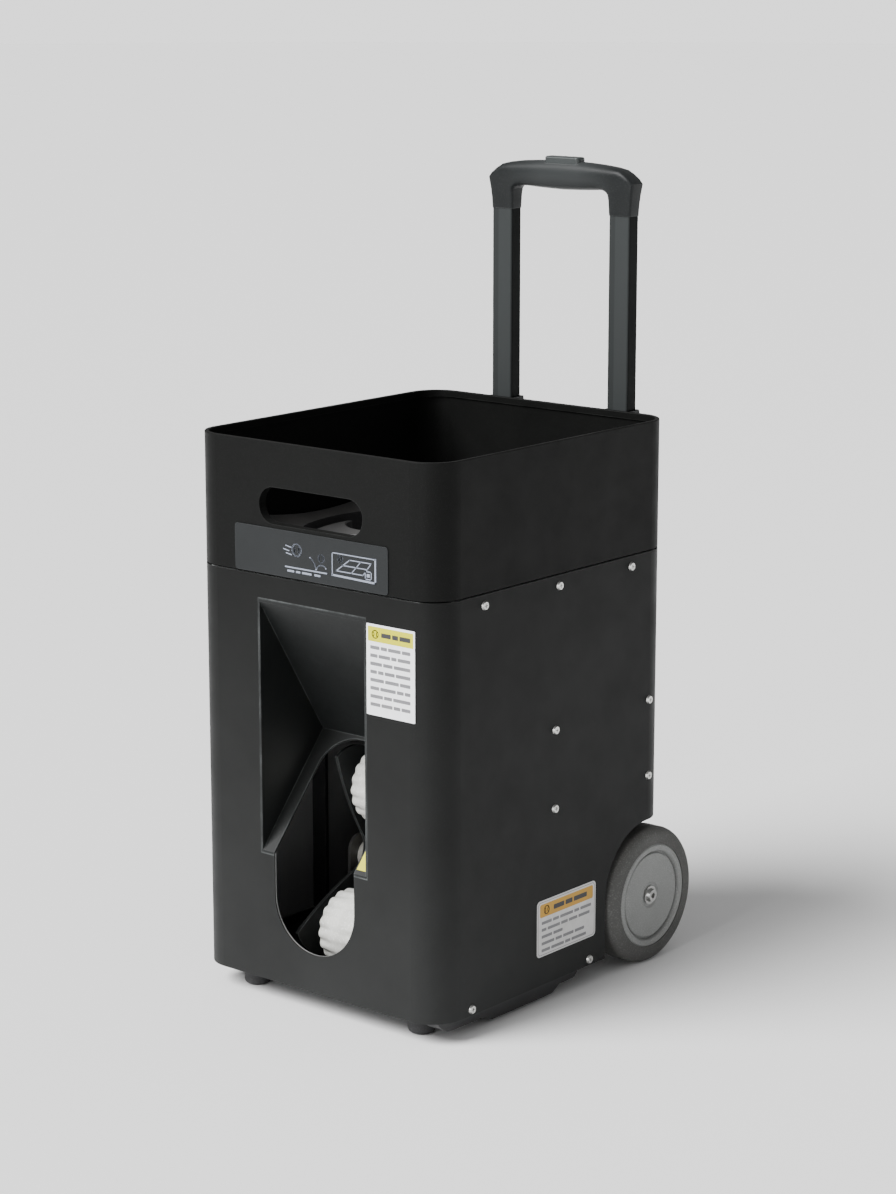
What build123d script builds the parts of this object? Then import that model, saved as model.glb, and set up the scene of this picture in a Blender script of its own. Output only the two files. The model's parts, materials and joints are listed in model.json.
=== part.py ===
from build123d import *
import math
import os

# Portable tennis ball machine with a trolley handle and two transport wheels.
# Frame: +Z up, the ball exit faces -Y, +X is the right side seen from the front.
# Origin: on the ground under the centre of the overall box. Lengths in millimetres.

# ---- driving dimensions: housing -------------------------------------------------
body_width = 280.0
front_y = -182.0
back_y = 145.0
corner_radius = 30.0
sheet = 2.5
body_bottom_z = 20.0
hopper_joint_z = 386.0
joint_gap = 1.0
rim_z = 503.0
body_depth = back_y - front_y
body_mid_y = (back_y + front_y) / 2
half_width = body_width / 2
inner_half = half_width - sheet

# ---- ball exit -------------------------------------------------------------------
window_half = 60.0
window_top_z = 362.0
window_low_z = 139.0
valley_y = -102.0
valley_z = 233.0
funnel_wall = 2.0
exit_half = 46.5
exit_top_s = 120.0
exit_top_corner = 31.0
slot_low_centre_z = 101.0

# ---- hand slot, plates and labels ------------------------------------------------
hand_slot_length = 118.0
hand_slot_height = 32.0
hand_slot_z = 448.0
plate_width = 174.0
plate_low_z = 388.0
plate_top_z = 428.5
plate_thickness = 0.8
label_thickness = 0.3

# ---- transport wheels ------------------------------------------------------------
wheel_radius = 63.5
wheel_y = -front_y + plate_thickness - wheel_radius
wheel_inner_x = 114.0
wheel_outer_x = 144.0
rim_ring_radius = 48.0
axle_radius = 6.0
running_gap = 0.05
arch_front_y = 52.5
arch_top_z = 136.0
arch_corner = 62.0
well_inner_x = 108.0
well_wall = 2.0

# ---- feeder ----------------------------------------------------------------------
deck_low_z = 367.0
deck_top_z = 370.0
feed_y = body_mid_y
rotor_radius = 116.0
pocket_radius = 38.0
pocket_orbit = 81.0
pocket_count = 5
drop_y = feed_y + pocket_orbit
dish_radius = 122.0

# ---- ball chute ------------------------------------------------------------------
chute_inner = 36.0
chute_outer = 38.0
chute_bend_z = 193.0
chute_bend_radius = 90.0
chute_bend_angle = 60.0
chute_tail = 20.0

# ---- launcher head ---------------------------------------------------------------
elevation = 20.0
nip_y = -96.5
nip_z = 122.0
wheel_offset = 64.5
launch_radius = 35.0
launch_half_width = 25.0
pivot_u = -46.0
pivot_radius = 6.0
cheek_x = 42.0
cheek_thickness = 3.0
shaft_radius = 4.0
motor_radius = 24.0

# ---- tilt drive ------------------------------------------------------------------
gear_module = 2.0
sector_full_teeth = 70
pinion_teeth = 12
pressure_angle = 25.0
gear_low_x = -51.0
gear_thickness = 6.0
bracket_x = 57.0
bracket_thickness = 3.0

# ---- trolley handle --------------------------------------------------------------
tube_x = 67.3
tube_y = 166.0
inner_tube = (23.0, 14.5)
outer_tube = (28.0, 19.5)
tube_gap = 0.5
inner_tube_corner = 2.0
grip_low_z = 676.0
grip_top_z = 722.5
inner_tube_low_z = 250.0
outer_tube_low_z = 70.0
outer_tube_top_z = 489.0
collar_top_z = 500.0

sides = {"left": -1, "right": 1}
os.makedirs("parts", exist_ok=True)


def keep(piece, name):
    """Label a finished piece and write its STEP file."""
    piece.part.label = name
    export_step(piece.part, f"parts/{name}.step")


def front_plane(y):
    """Plane facing the front at this y, with local x = X and local y = Z."""
    return Plane.XZ.offset(-y)


def side_plane(x):
    """Plane facing the right side at this x, with local x = Y and local y = Z."""
    return Plane.YZ.offset(x)


launch_dir = (-math.cos(math.radians(elevation)), math.sin(math.radians(elevation)))
launch_up = (math.sin(math.radians(elevation)), math.cos(math.radians(elevation)))


def launcher_plane(x):
    """Plane through the nip at this x: local x is the launch direction, local y is up."""
    return Plane(origin=(x, nip_y, nip_z), x_dir=(0, *launch_dir), z_dir=(-1, 0, 0))


def launcher_point(u, v):
    """Row-frame y and z of a point given in the launcher's own directions."""
    return (
        nip_y + u * launch_dir[0] + v * launch_up[0],
        nip_z + u * launch_dir[1] + v * launch_up[1],
    )


pivot_y, pivot_z = launcher_point(pivot_u, 0)


# ---- main shell: one wrapped sheet with front, sides and rear corners ------------
window_outline = [
    (front_y, window_top_z),
    (valley_y, valley_z),
    (front_y, window_low_z),
]
side_screws = [
    (-120.5, 376.5), (-18.5, 376.5), (85.5, 376.5),
    (-22.5, 249.0), (115.0, 249.0),
    (-22.5, 178.0), (115.5, 178.0),
    (-136.5, 25.5), (29.5, 25.5),
]
screw_radius = 1.5
rear_opening_half = 104.0

with BuildPart() as funnel_outer:
    with BuildSketch(Plane.YZ):
        with BuildLine():
            Polyline(*window_outline, close=True)
        make_face()
        offset(amount=funnel_wall, kind=Kind.INTERSECTION)
    extrude(amount=window_half + funnel_wall, both=True)
    split(bisect_by=front_plane(front_y), keep=Keep.BOTTOM)

with BuildPart() as main_shell:
    with BuildSketch(Plane.XY.offset(body_bottom_z)):
        with Locations((0, body_mid_y)):
            RectangleRounded(body_width, body_depth, corner_radius)
            RectangleRounded(
                body_width - 2 * sheet, body_depth - 2 * sheet, corner_radius - sheet,
                mode=Mode.SUBTRACT,
            )
    extrude(amount=hopper_joint_z - body_bottom_z)
    # ball exit window and the round-bottomed slot below it
    add(funnel_outer.part, mode=Mode.SUBTRACT)
    with BuildSketch(front_plane(front_y - 1)):
        with Locations((0, (window_low_z + slot_low_centre_z) / 2)):
            Rectangle(2 * exit_half, window_low_z - slot_low_centre_z)
        with Locations((0, slot_low_centre_z)):
            Circle(exit_half)
    extrude(amount=-(sheet + 2), mode=Mode.SUBTRACT)
    # opening closed by the rear panel
    with BuildSketch(front_plane(back_y + 1)):
        with Locations((0, (body_bottom_z + hopper_joint_z) / 2)):
            Rectangle(2 * rear_opening_half, hopper_joint_z - body_bottom_z)
    extrude(amount=sheet + 2, mode=Mode.SUBTRACT)
    # wheel arches
    for side in sides.values():
        with BuildSketch(side_plane(side * (well_inner_x - 4))) as arch:
            with BuildLine():
                Polyline(
                    (arch_front_y, 0), (back_y + 5, 0), (back_y + 5, arch_top_z),
                    (arch_front_y, arch_top_z), close=True,
                )
            make_face()
            fillet(arch.vertices().group_by(Axis.Y)[-1].sort_by(Axis.X)[0], arch_corner)
        extrude(amount=side * 60, mode=Mode.SUBTRACT)
    # side screw holes
    with BuildSketch(side_plane(-half_width - 1)):
        with Locations(*side_screws):
            Circle(screw_radius + 0.1)
    extrude(amount=body_width + 2, mode=Mode.SUBTRACT)
keep(main_shell, "main_shell")

# ---- rear panel with switch and socket cut-outs ----------------------------------
rear_panel_y = back_y - sheet
switch_x = -30.0
socket_x = 30.0
rear_control_z = 300.0
with BuildPart() as rear_panel:
    with BuildSketch(front_plane(rear_panel_y)):
        with Locations((0, (arch_top_z + 4 + hopper_joint_z - 20) / 2)):
            Rectangle(219, hopper_joint_z - 20 - arch_top_z - 4)
        with Locations((0, (body_bottom_z + 3 + arch_top_z + 4) / 2)):
            Rectangle(207, arch_top_z + 4 - body_bottom_z - 3)
        with Locations((switch_x, rear_control_z)):
            Rectangle(19, 25, mode=Mode.SUBTRACT)
        with Locations((socket_x, rear_control_z)):
            Circle(8.5, mode=Mode.SUBTRACT)
        # cooling louvres
        with GridLocations(0, 8, 1, 6):
            with Locations((0, 215)):
                SlotOverall(64, 3.5, mode=Mode.SUBTRACT)
    extrude(amount=2)
    # flange that stiffens the top edge
    with BuildSketch(Plane.XY.offset(hopper_joint_z - 22)):
        with Locations((0, rear_panel_y - 8)):
            Rectangle(219, 12)
    extrude(amount=2)
keep(rear_panel, "rear_panel")

# ---- base plate ------------------------------------------------------------------
base_top_z = body_bottom_z + sheet
foot_x = 97.0
foot_y = -152.0
launcher_opening = (100.0, -152.0, -52.0)
with BuildPart() as base_plate:
    with BuildSketch(Plane.XY.offset(body_bottom_z)):
        with Locations((0, body_mid_y)):
            RectangleRounded(body_width - 2 * sheet, body_depth - 2 * sheet, corner_radius - sheet)
        with Locations((0, (launcher_opening[1] + launcher_opening[2]) / 2)):
            RectangleRounded(
                launcher_opening[0], launcher_opening[2] - launcher_opening[1], 8,
                mode=Mode.SUBTRACT,
            )
        for side in sides.values():
            with Locations((side * (well_inner_x + 20 - well_wall), (arch_front_y + back_y) / 2)):
                Rectangle(40, back_y - arch_front_y + 2 * well_wall, mode=Mode.SUBTRACT)
            with Locations((side * foot_x, foot_y)):
                Circle(3.1, mode=Mode.SUBTRACT)
    extrude(amount=sheet)
    # upturned side flanges that the side screws enter
    for side in sides.values():
        with BuildSketch(Plane.XY.offset(base_top_z)):
            with Locations((side * (inner_half - 1), -52)):
                Rectangle(2, 190)
        extrude(amount=9)
        with BuildSketch(side_plane(side * (inner_half + 1))):
            with Locations((-136.5, 25.5), (29.5, 25.5)):
                Circle(screw_radius + 0.05)
        extrude(amount=-side * 5, mode=Mode.SUBTRACT)
keep(base_plate, "base_plate")

# ---- belly pan below the launcher ------------------------------------------------
pan_bottom_z = 10.5
with BuildPart() as belly_pan:
    with BuildSketch(Plane.XY.offset(pan_bottom_z)):
        with Locations((0, -99)):
            RectangleRounded(118, 100, 16)
    extrude(amount=body_bottom_z - pan_bottom_z)
    fillet(belly_pan.faces().sort_by(Axis.Z)[0].edges(), 5)
    with BuildSketch(Plane.XY.offset(pan_bottom_z + 1.8)):
        with Locations((0, -99)):
            RectangleRounded(114, 96, 14)
    extrude(amount=20, mode=Mode.SUBTRACT)
keep(belly_pan, "belly_pan")

# ---- skid rails along the bottom edges -------------------------------------------
rail_outer_x = 132.0
rail_width = 16.0
rail_top_front = (-172, body_bottom_z)
rail_toe = (-150, 9.5)
rail_belly = (-113, 9)
with BuildPart() as skid_rails:
    for side in sides.values():
        with BuildSketch(side_plane(side * rail_outer_x)):
            with BuildLine():
                Line((27, body_bottom_z), rail_top_front)
                ThreePointArc(rail_top_front, (-164, 12.2), rail_toe)
                Line(rail_toe, rail_belly)
                Polyline(rail_belly, (-97, 3), (-16, 3), (-5, 9), (17, 9), (27, body_bottom_z))
            make_face()
        extrude(amount=-side * rail_width)
    fillet(skid_rails.edges().filter_by(Axis.Y).filter_by(lambda e: e.center().Z < 10), 2)
keep(skid_rails, "skid_rails")

# ---- front feet ------------------------------------------------------------------
foot_radius = 12.0
with BuildPart() as front_feet:
    with BuildSketch(Plane.XY):
        with Locations((-foot_x, foot_y), (foot_x, foot_y)):
            Circle(foot_radius)
    extrude(amount=body_bottom_z)
    fillet(front_feet.faces().group_by(Axis.Z)[0].edges(), 4)
    with BuildSketch(Plane.XY.offset(6)):
        with Locations((-foot_x, foot_y), (foot_x, foot_y)):
            Circle(3.0)
    extrude(amount=20, mode=Mode.SUBTRACT)
keep(front_feet, "front_feet")

with BuildPart() as foot_studs:
    for side in sides.values():
        with BuildSketch(Plane.XY.offset(6)):
            with Locations((side * foot_x, foot_y)):
                Circle(3.0)
        extrude(amount=base_top_z + 1.5)
        with BuildSketch(Plane.XY.offset(base_top_z)):
            with Locations((side * foot_x, foot_y)):
                RegularPolygon(6, 6)
        extrude(amount=4)
keep(foot_studs, "foot_studs")

# ---- frame posts that carry the feeder deck --------------------------------------
post_width = 20.0
with BuildPart() as frame_posts:
    for side in sides.values():
        for post_y, post_low_z in ((-22.5, base_top_z + 9), (110.0, arch_top_z + 4)):
            with BuildSketch(Plane.XY.offset(post_low_z)):
                with Locations((side * (inner_half - 0.75), post_y)):
                    Rectangle(1.5, post_width)
                with Locations((side * (inner_half - 8), post_y - post_width / 2 + 0.75)):
                    Rectangle(16, 1.5)
            extrude(amount=deck_low_z - 1.5 - post_low_z)
            with BuildSketch(Plane.XY.offset(deck_low_z - 1.5)):
                with Locations((side * (inner_half - 8), post_y)):
                    Rectangle(16, post_width)
            extrude(amount=1.5)
        with BuildSketch(side_plane(side * (inner_half + 1))):
            with Locations(*[s for s in side_screws if 150 < s[1] < 300]):
                Circle(screw_radius + 0.05)
        extrude(amount=-side * 4, mode=Mode.SUBTRACT)
    with BuildSketch(Plane.XY):
        with Locations((0, body_mid_y)):
            RectangleRounded(body_width - 2 * sheet, body_depth - 2 * sheet, corner_radius - sheet)
    extrude(amount=deck_low_z, mode=Mode.INTERSECT)
keep(frame_posts, "frame_posts")

# ---- side screws -----------------------------------------------------------------
with BuildPart() as shell_screws:
    for side in sides.values():
        with BuildSketch(side_plane(side * (half_width - 6))):
            with Locations(*side_screws):
                Circle(screw_radius)
        extrude(amount=side * 6.5)
        with BuildSketch(side_plane(side * half_width)):
            with Locations(*side_screws):
                Circle(4.0)
        extrude(amount=side * 1.8, taper=22)
        with BuildSketch(side_plane(side * (half_width + 1.8))):
            with Locations(*side_screws):
                Rectangle(3.4, 0.8)
                Rectangle(0.8, 3.4)
        extrude(amount=-side * 0.9, mode=Mode.SUBTRACT)
keep(shell_screws, "shell_screws")

# ---- wheel wells -----------------------------------------------------------------
well_back_y = back_y - sheet - 0.1


def well_outline(margin, low_z, high_y):
    """Side outline of the wheel arch, grown by margin, with its rounded front top corner."""
    with BuildSketch() as outline:
        with BuildLine():
            Polyline(
                (arch_front_y - margin, low_z), (high_y, low_z), (high_y, arch_top_z + margin),
                (arch_front_y - margin, arch_top_z + margin), close=True,
            )
        make_face()
        corner = outline.vertices().group_by(Axis.Y)[-1].sort_by(Axis.X)[0]
        fillet(corner, arch_corner + margin)
    return outline.sketch


well_outer = well_outline(well_wall, body_bottom_z, well_back_y)
well_hollow = well_outline(0, 0, back_y + 5)
with BuildPart() as wheel_wells:
    for side in sides.values():
        with BuildSketch(side_plane(side * (well_inner_x - well_wall))):
            add(well_outer)
        extrude(amount=side * (inner_half - well_inner_x + well_wall))
        with BuildSketch(side_plane(side * well_inner_x)):
            add(well_hollow)
        extrude(amount=side * 60, mode=Mode.SUBTRACT)
        with BuildSketch(side_plane(side * (well_inner_x - 5))):
            with Locations((wheel_y, wheel_radius)):
                Circle(axle_radius)
        extrude(amount=side * 10, mode=Mode.SUBTRACT)
    # the rear corner of each well follows the rounded corner of the shell
    with BuildSketch(Plane.XY):
        with Locations((0, body_mid_y)):
            RectangleRounded(body_width - 2 * sheet, body_depth - 2 * sheet, corner_radius - sheet)
    extrude(amount=300, mode=Mode.INTERSECT)
keep(wheel_wells, "wheel_wells")

# ---- stub axles, brackets and nuts -----------------------------------------------
bracket_outer_x = well_inner_x - well_wall
hub_face_x = 140.5
with BuildPart() as axle_brackets:
    for side in sides.values():
        with BuildSketch(side_plane(side * bracket_outer_x)) as bracket_shape:
            with BuildLine():
                Polyline(
                    (wheel_y - 20, base_top_z), (wheel_y + 20, base_top_z),
                    (wheel_y + 20, 84), (wheel_y - 20, 84), close=True,
                )
            make_face()
            fillet(bracket_shape.vertices().group_by(Axis.Y)[-1], 12)
            with Locations((wheel_y, wheel_radius)):
                Circle(axle_radius, mode=Mode.SUBTRACT)
        extrude(amount=-side * 4)
        with BuildSketch(Plane.XY.offset(base_top_z)):
            with Locations((side * (bracket_outer_x - 8), wheel_y)):
                Rectangle(16, 40)
        extrude(amount=3)
keep(axle_brackets, "axle_brackets")

with BuildPart() as stub_axles:
    for side in sides.values():
        with BuildSketch(side_plane(side * 90)):
            with Locations((wheel_y, wheel_radius)):
                Circle(axle_radius)
        extrude(amount=side * (hub_face_x + 1.5 - 90))
        # washer and button head with a hexagon socket
        with BuildSketch(side_plane(side * (hub_face_x + 0.4))):
            with Locations((wheel_y, wheel_radius)):
                Circle(8.5)
        extrude(amount=side * 1.0)
        with BuildSketch(side_plane(side * (hub_face_x + 1.4))):
            with Locations((wheel_y, wheel_radius)):
                Circle(6.4)
        extrude(amount=side * 3.1, taper=18)
        with BuildSketch(side_plane(side * (hub_face_x + 4.5))):
            with Locations((wheel_y, wheel_radius)):
                RegularPolygon(2.9, 6)
        extrude(amount=-side * 2.2, mode=Mode.SUBTRACT)
keep(stub_axles, "stub_axles")

with BuildPart() as axle_hardware:
    for side in sides.values():
        # lock nut behind the bracket
        with BuildSketch(side_plane(side * (bracket_outer_x - 4))):
            with Locations((wheel_y, wheel_radius)):
                RegularPolygon(10.5, 6)
                Circle(axle_radius, mode=Mode.SUBTRACT)
        extrude(amount=-side * 8)
        # spacer between the well and the hub
        with BuildSketch(side_plane(side * well_inner_x)):
            with Locations((wheel_y, wheel_radius)):
                Circle(10)
                Circle(axle_radius, mode=Mode.SUBTRACT)
        extrude(amount=side * (wheel_inner_x + 1.6 - well_inner_x))
keep(axle_hardware, "axle_hardware")

# ---- transport wheels ------------------------------------------------------------
tyre_shoulder = 8.0
for label, side in sides.items():
    wheel_axis = Axis((0, wheel_y, wheel_radius), (1, 0, 0))
    with BuildPart() as tyre:
        with BuildSketch(Plane.XY.offset(wheel_radius)) as tyre_profile:
            with Locations((side * (wheel_inner_x + wheel_outer_x) / 2,
                            wheel_y + (wheel_radius + rim_ring_radius) / 2)):
                Rectangle(wheel_outer_x - wheel_inner_x, wheel_radius - rim_ring_radius)
            fillet(tyre_profile.vertices().group_by(Axis.Y)[-1], tyre_shoulder)
        revolve(axis=wheel_axis)
    keep(tyre, f"tyre_{label}")
    with BuildPart() as wheel_hub:
        with BuildSketch(Plane.XY.offset(wheel_radius)):
            with BuildLine():
                # half section: x outwards along the axle, second value the radius
                section = [
                    (116.0, axle_radius + running_gap), (hub_face_x, axle_radius + running_gap),
                    (hub_face_x, 10.5), (141.6, 12.5), (142.2, 38.6), (141.6, 39.4), (140.2, 39.9),
                    (140.2, 41.1), (143.4, 42.0), (144.2, 43.0), (144.2, 46.6), (143.2, rim_ring_radius),
                    (114.5, rim_ring_radius), (114.5, 42.5), (136.5, 41.0), (137.5, 13.0),
                    (116.0, 12.0),
                ]
                Polyline(*[(side * x, wheel_y + r) for x, r in section], close=True)
            make_face()
        revolve(axis=wheel_axis)
        # stiffening ribs on the inner side
        for index in range(6):
            rib_plane = Plane(
                origin=(side * 120, wheel_y, wheel_radius), x_dir=(0, 1, 0), z_dir=(side, 0, 0)
            ).rotated((60 * index, 0, 0))
            with BuildSketch(rib_plane):
                with Locations((26.9, 0)):
                    Rectangle(30, 3)
            extrude(amount=17.2)
    keep(wheel_hub, f"wheel_hub_{label}")

# ---- exit funnel -----------------------------------------------------------------
slope_length = math.hypot(valley_y - front_y, valley_z - window_low_z)
slope_dir = ((valley_y - front_y) / slope_length, (valley_z - window_low_z) / slope_length)
slope_plane = Plane(
    origin=(0, front_y, window_low_z), x_dir=(1, 0, 0), z_dir=(0, -slope_dir[1], slope_dir[0])
)
with BuildPart() as exit_funnel:
    add(funnel_outer.part)
    with BuildSketch(Plane.YZ):
        with BuildLine():
            Polyline(
                (front_y - 1, window_top_z + 1.6125), *window_outline[1:2],
                (front_y - 1, window_low_z - 1.175), close=True,
            )
        make_face()
    extrude(amount=window_half, both=True, mode=Mode.SUBTRACT)
    with BuildSketch(slope_plane):
        with Locations((0, exit_top_s / 2 - 25)):
            RectangleRounded(2 * exit_half, exit_top_s + 50, exit_top_corner)
    extrude(amount=8, both=True, mode=Mode.SUBTRACT)
    # fixing ears that bolt to the back of the front panel
    for side in sides.values():
        with BuildSketch(front_plane(front_y + sheet)):
            with Locations((side * (window_half + funnel_wall + 5), 180),
                           (side * (window_half + funnel_wall + 5), 320)):
                Rectangle(12, 24)
        extrude(amount=-2)
keep(exit_funnel, "exit_funnel")

with BuildPart() as exit_sticker:
    with BuildSketch(slope_plane):
        with Locations(((exit_half + window_half) / 2, 22)):
            Rectangle(11, 36)
    extrude(amount=label_thickness)
keep(exit_sticker, "exit_sticker")

# ---- hopper bin ------------------------------------------------------------------
skirt_half = inner_half - 0.3
with BuildPart() as hopper_bin:
    with BuildSketch(Plane.XY.offset(hopper_joint_z + joint_gap)):
        with Locations((0, body_mid_y)):
            RectangleRounded(body_width, body_depth, corner_radius)
            RectangleRounded(
                body_width - 2 * sheet, body_depth - 2 * sheet, corner_radius - sheet,
                mode=Mode.SUBTRACT,
            )
    extrude(amount=rim_z - hopper_joint_z - joint_gap)
    chamfer(hopper_bin.faces().sort_by(Axis.Z)[0].edges(), 0.7)
    # inward hem along the rim
    with BuildSketch(Plane.XY.offset(rim_z - 6)):
        with Locations((0, body_mid_y)):
            RectangleRounded(body_width - 2, body_depth - 2, corner_radius - 1)
            RectangleRounded(body_width - 8, body_depth - 8, corner_radius - 4, mode=Mode.SUBTRACT)
    extrude(amount=6)
    # skirt that drops inside the main shell
    skirt_shrink = 2 * (half_width - skirt_half)
    with BuildSketch(Plane.XY.offset(deck_top_z)):
        with Locations((0, body_mid_y)):
            RectangleRounded(
                body_width - skirt_shrink, body_depth - skirt_shrink, corner_radius - skirt_shrink / 2
            )
            RectangleRounded(
                body_width - skirt_shrink - 4, body_depth - skirt_shrink - 4,
                corner_radius - skirt_shrink / 2 - 2, mode=Mode.SUBTRACT,
            )
    extrude(amount=hopper_joint_z - deck_top_z + 4)
    with BuildSketch(Plane.XY.offset(hopper_joint_z + joint_gap + 1)):
        with Locations((0, body_mid_y)):
            RectangleRounded(body_width - 2, body_depth - 2, corner_radius - 1)
            RectangleRounded(
                body_width - skirt_shrink - 4, body_depth - skirt_shrink - 4,
                corner_radius - skirt_shrink / 2 - 2, mode=Mode.SUBTRACT,
            )
    extrude(amount=3)
    # hand slot with a rolled lip
    with BuildSketch(front_plane(front_y + sheet)):
        with Locations((0, hand_slot_z)):
            SlotOverall(hand_slot_length + 4, hand_slot_height + 4)
    extrude(amount=-6)
    with BuildSketch(front_plane(front_y - 1)):
        with Locations((0, hand_slot_z)):
            SlotOverall(hand_slot_length, hand_slot_height)
    extrude(amount=-14, mode=Mode.SUBTRACT)
    # the side screws near the joint pass through the skirt
    with BuildSketch(side_plane(-half_width - 1)):
        with Locations(*side_screws[:3]):
            Circle(screw_radius + 0.1)
    extrude(amount=body_width + 2, mode=Mode.SUBTRACT)
    fillet(hopper_bin.faces().sort_by(Axis.Z)[-1].edges(), 0.8)
keep(hopper_bin, "hopper_bin")

# ---- front plate and labels ------------------------------------------------------
with BuildPart() as display_plate:
    with BuildSketch(front_plane(front_y)):
        with Locations((0, (plate_low_z + plate_top_z) / 2)):
            RectangleRounded(plate_width, plate_top_z - plate_low_z, 3)
    extrude(amount=plate_thickness)
keep(display_plate, "display_plate")

with BuildPart() as front_label:
    with BuildSketch(front_plane(front_y)):
        with Locations(((62.8 + 116.0) / 2, (283.0 + 361.5) / 2)):
            RectangleRounded(116.0 - 62.8, 361.5 - 283.0, 1)
    extrude(amount=label_thickness)
keep(front_label, "front_label")

with BuildPart() as side_label:
    with BuildSketch(side_plane(half_width)):
        with Locations(((-47.0 + 37.5) / 2, (46.5 + 98.0) / 2)):
            RectangleRounded(84.5, 51.5, 4)
    extrude(amount=label_thickness)
keep(side_label, "side_label")

# ---- feeder deck -----------------------------------------------------------------
with BuildPart() as feeder_deck:
    with BuildSketch(Plane.XY.offset(deck_low_z)):
        with Locations((0, body_mid_y)):
            RectangleRounded(
                body_width - 2 * sheet - 0.4, body_depth - 2 * sheet - 0.4, corner_radius - sheet
            )
        with Locations((0, drop_y)):
            Circle(39, mode=Mode.SUBTRACT)
        with Locations((0, feed_y)):
            Circle(12, mode=Mode.SUBTRACT)
    extrude(amount=deck_top_z - deck_low_z)
keep(feeder_deck, "feeder_deck")

# ---- feeder dish: a cylinder round the rotor with a slope up to the hopper walls -
dish_wall = 2.5
dish_lip_z = 405.0
dish_slope = 0.33
with BuildPart() as feeder_dish:
    with BuildSketch(Plane.XZ.offset(-feed_y)):
        with BuildLine():
            rise = 90 * dish_slope
            Polyline(
                (dish_radius, deck_top_z), (dish_radius + dish_wall, deck_top_z),
                (dish_radius + dish_wall, dish_lip_z - dish_wall),
                (dish_radius + 90, dish_lip_z - dish_wall + rise),
                (dish_radius + 90, dish_lip_z + rise), (dish_radius, dish_lip_z), close=True,
            )
        make_face()
    revolve(axis=Axis((0, feed_y, 0), (0, 0, 1)))
    with BuildSketch(Plane.XY.offset(deck_top_z)):
        with Locations((0, body_mid_y)):
            RectangleRounded(
                body_width - skirt_shrink - 4.6, body_depth - skirt_shrink - 4.6,
                corner_radius - skirt_shrink / 2 - 2.3,
            )
    extrude(amount=80, mode=Mode.INTERSECT)
keep(feeder_dish, "feeder_dish")

# ---- feeder rotor ----------------------------------------------------------------
rotor_low_z = deck_top_z + 1.5
rotor_top_z = 400.0
with BuildPart() as feed_rotor:
    with BuildSketch(Plane.XY.offset(rotor_low_z)):
        with Locations((0, feed_y)):
            Circle(rotor_radius)
            with PolarLocations(pocket_orbit, pocket_count, start_angle=90):
                Circle(pocket_radius, mode=Mode.SUBTRACT)
            Circle(5, mode=Mode.SUBTRACT)
    extrude(amount=rotor_top_z - rotor_low_z)
    # hollow underside between the pockets
    with BuildSketch(Plane.XY.offset(rotor_low_z)):
        with Locations((0, feed_y)):
            Circle(rotor_radius - 3)
            with PolarLocations(pocket_orbit, pocket_count, start_angle=90):
                Circle(pocket_radius + 3, mode=Mode.SUBTRACT)
            Circle(14, mode=Mode.SUBTRACT)
    extrude(amount=rotor_top_z - rotor_low_z - 3, mode=Mode.SUBTRACT)
    chamfer(feed_rotor.faces().sort_by(Axis.Z)[-1].edges(), 1.2)
    # dome that keeps balls off the centre
    with BuildSketch(Plane.XY.offset(rotor_top_z)):
        with Locations((0, feed_y)):
            Circle(38)
    extrude(amount=18, taper=48)
    fillet(feed_rotor.faces().sort_by(Axis.Z)[-1].edges(), 5)
keep(feed_rotor, "feed_rotor")

feed_shaft_low_z = 345.0
with BuildPart() as feed_shaft:
    with BuildSketch(Plane.XY.offset(feed_shaft_low_z)):
        with Locations((0, feed_y)):
            Circle(5)
    extrude(amount=rotor_top_z - feed_shaft_low_z)
keep(feed_shaft, "feed_shaft")

with BuildPart() as feed_gearmotor:
    with BuildSketch(Plane.XY.offset(deck_low_z - 30)):
        with Locations((0, feed_y)):
            RectangleRounded(52, 52, 6)
    extrude(amount=30)
    with BuildSketch(Plane.XY.offset(deck_low_z - 88)):
        with Locations((0, feed_y)):
            Circle(18.5)
    extrude(amount=58)
    with BuildSketch(Plane.XY.offset(deck_low_z - 91)):
        with Locations((0, feed_y)):
            Circle(7)
        with Locations((0, feed_y - 12), (0, feed_y + 12)):
            Rectangle(3, 5)
    extrude(amount=3)
    with BuildSketch(Plane.XY.offset(feed_shaft_low_z - 2)):
        with Locations((0, feed_y)):
            Circle(5 + running_gap)
    extrude(amount=60, mode=Mode.SUBTRACT)
keep(feed_gearmotor, "feed_gearmotor")

# ---- ball chute ------------------------------------------------------------------
bend = math.radians(chute_bend_angle)
bend_centre = (drop_y - chute_bend_radius, chute_bend_z)
bend_end = (
    bend_centre[0] + chute_bend_radius * math.cos(bend),
    bend_centre[1] - chute_bend_radius * math.sin(bend),
)
bend_middle = (
    bend_centre[0] + chute_bend_radius * math.cos(bend / 2),
    bend_centre[1] - chute_bend_radius * math.sin(bend / 2),
)
tail_end = (bend_end[0] - chute_tail * math.sin(bend), bend_end[1] - chute_tail * math.cos(bend))
with BuildPart() as ball_chute:
    with BuildLine() as chute_path:
        Line((0, drop_y, deck_low_z), (0, drop_y, chute_bend_z))
        ThreePointArc((0, drop_y, chute_bend_z), (0, *bend_middle), (0, *bend_end))
        Line((0, *bend_end), (0, *tail_end))
    with BuildSketch(Plane.XY.offset(deck_low_z)):
        with Locations((0, drop_y)):
            Circle(chute_outer)
            Circle(chute_inner, mode=Mode.SUBTRACT)
    sweep(path=chute_path.wires()[0])
    with BuildSketch(Plane.XY.offset(deck_low_z - 2.5)):
        with Locations((0, drop_y)):
            Circle(chute_outer + 8)
            Circle(chute_inner, mode=Mode.SUBTRACT)
    extrude(amount=2.5)
keep(ball_chute, "ball_chute")

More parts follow.
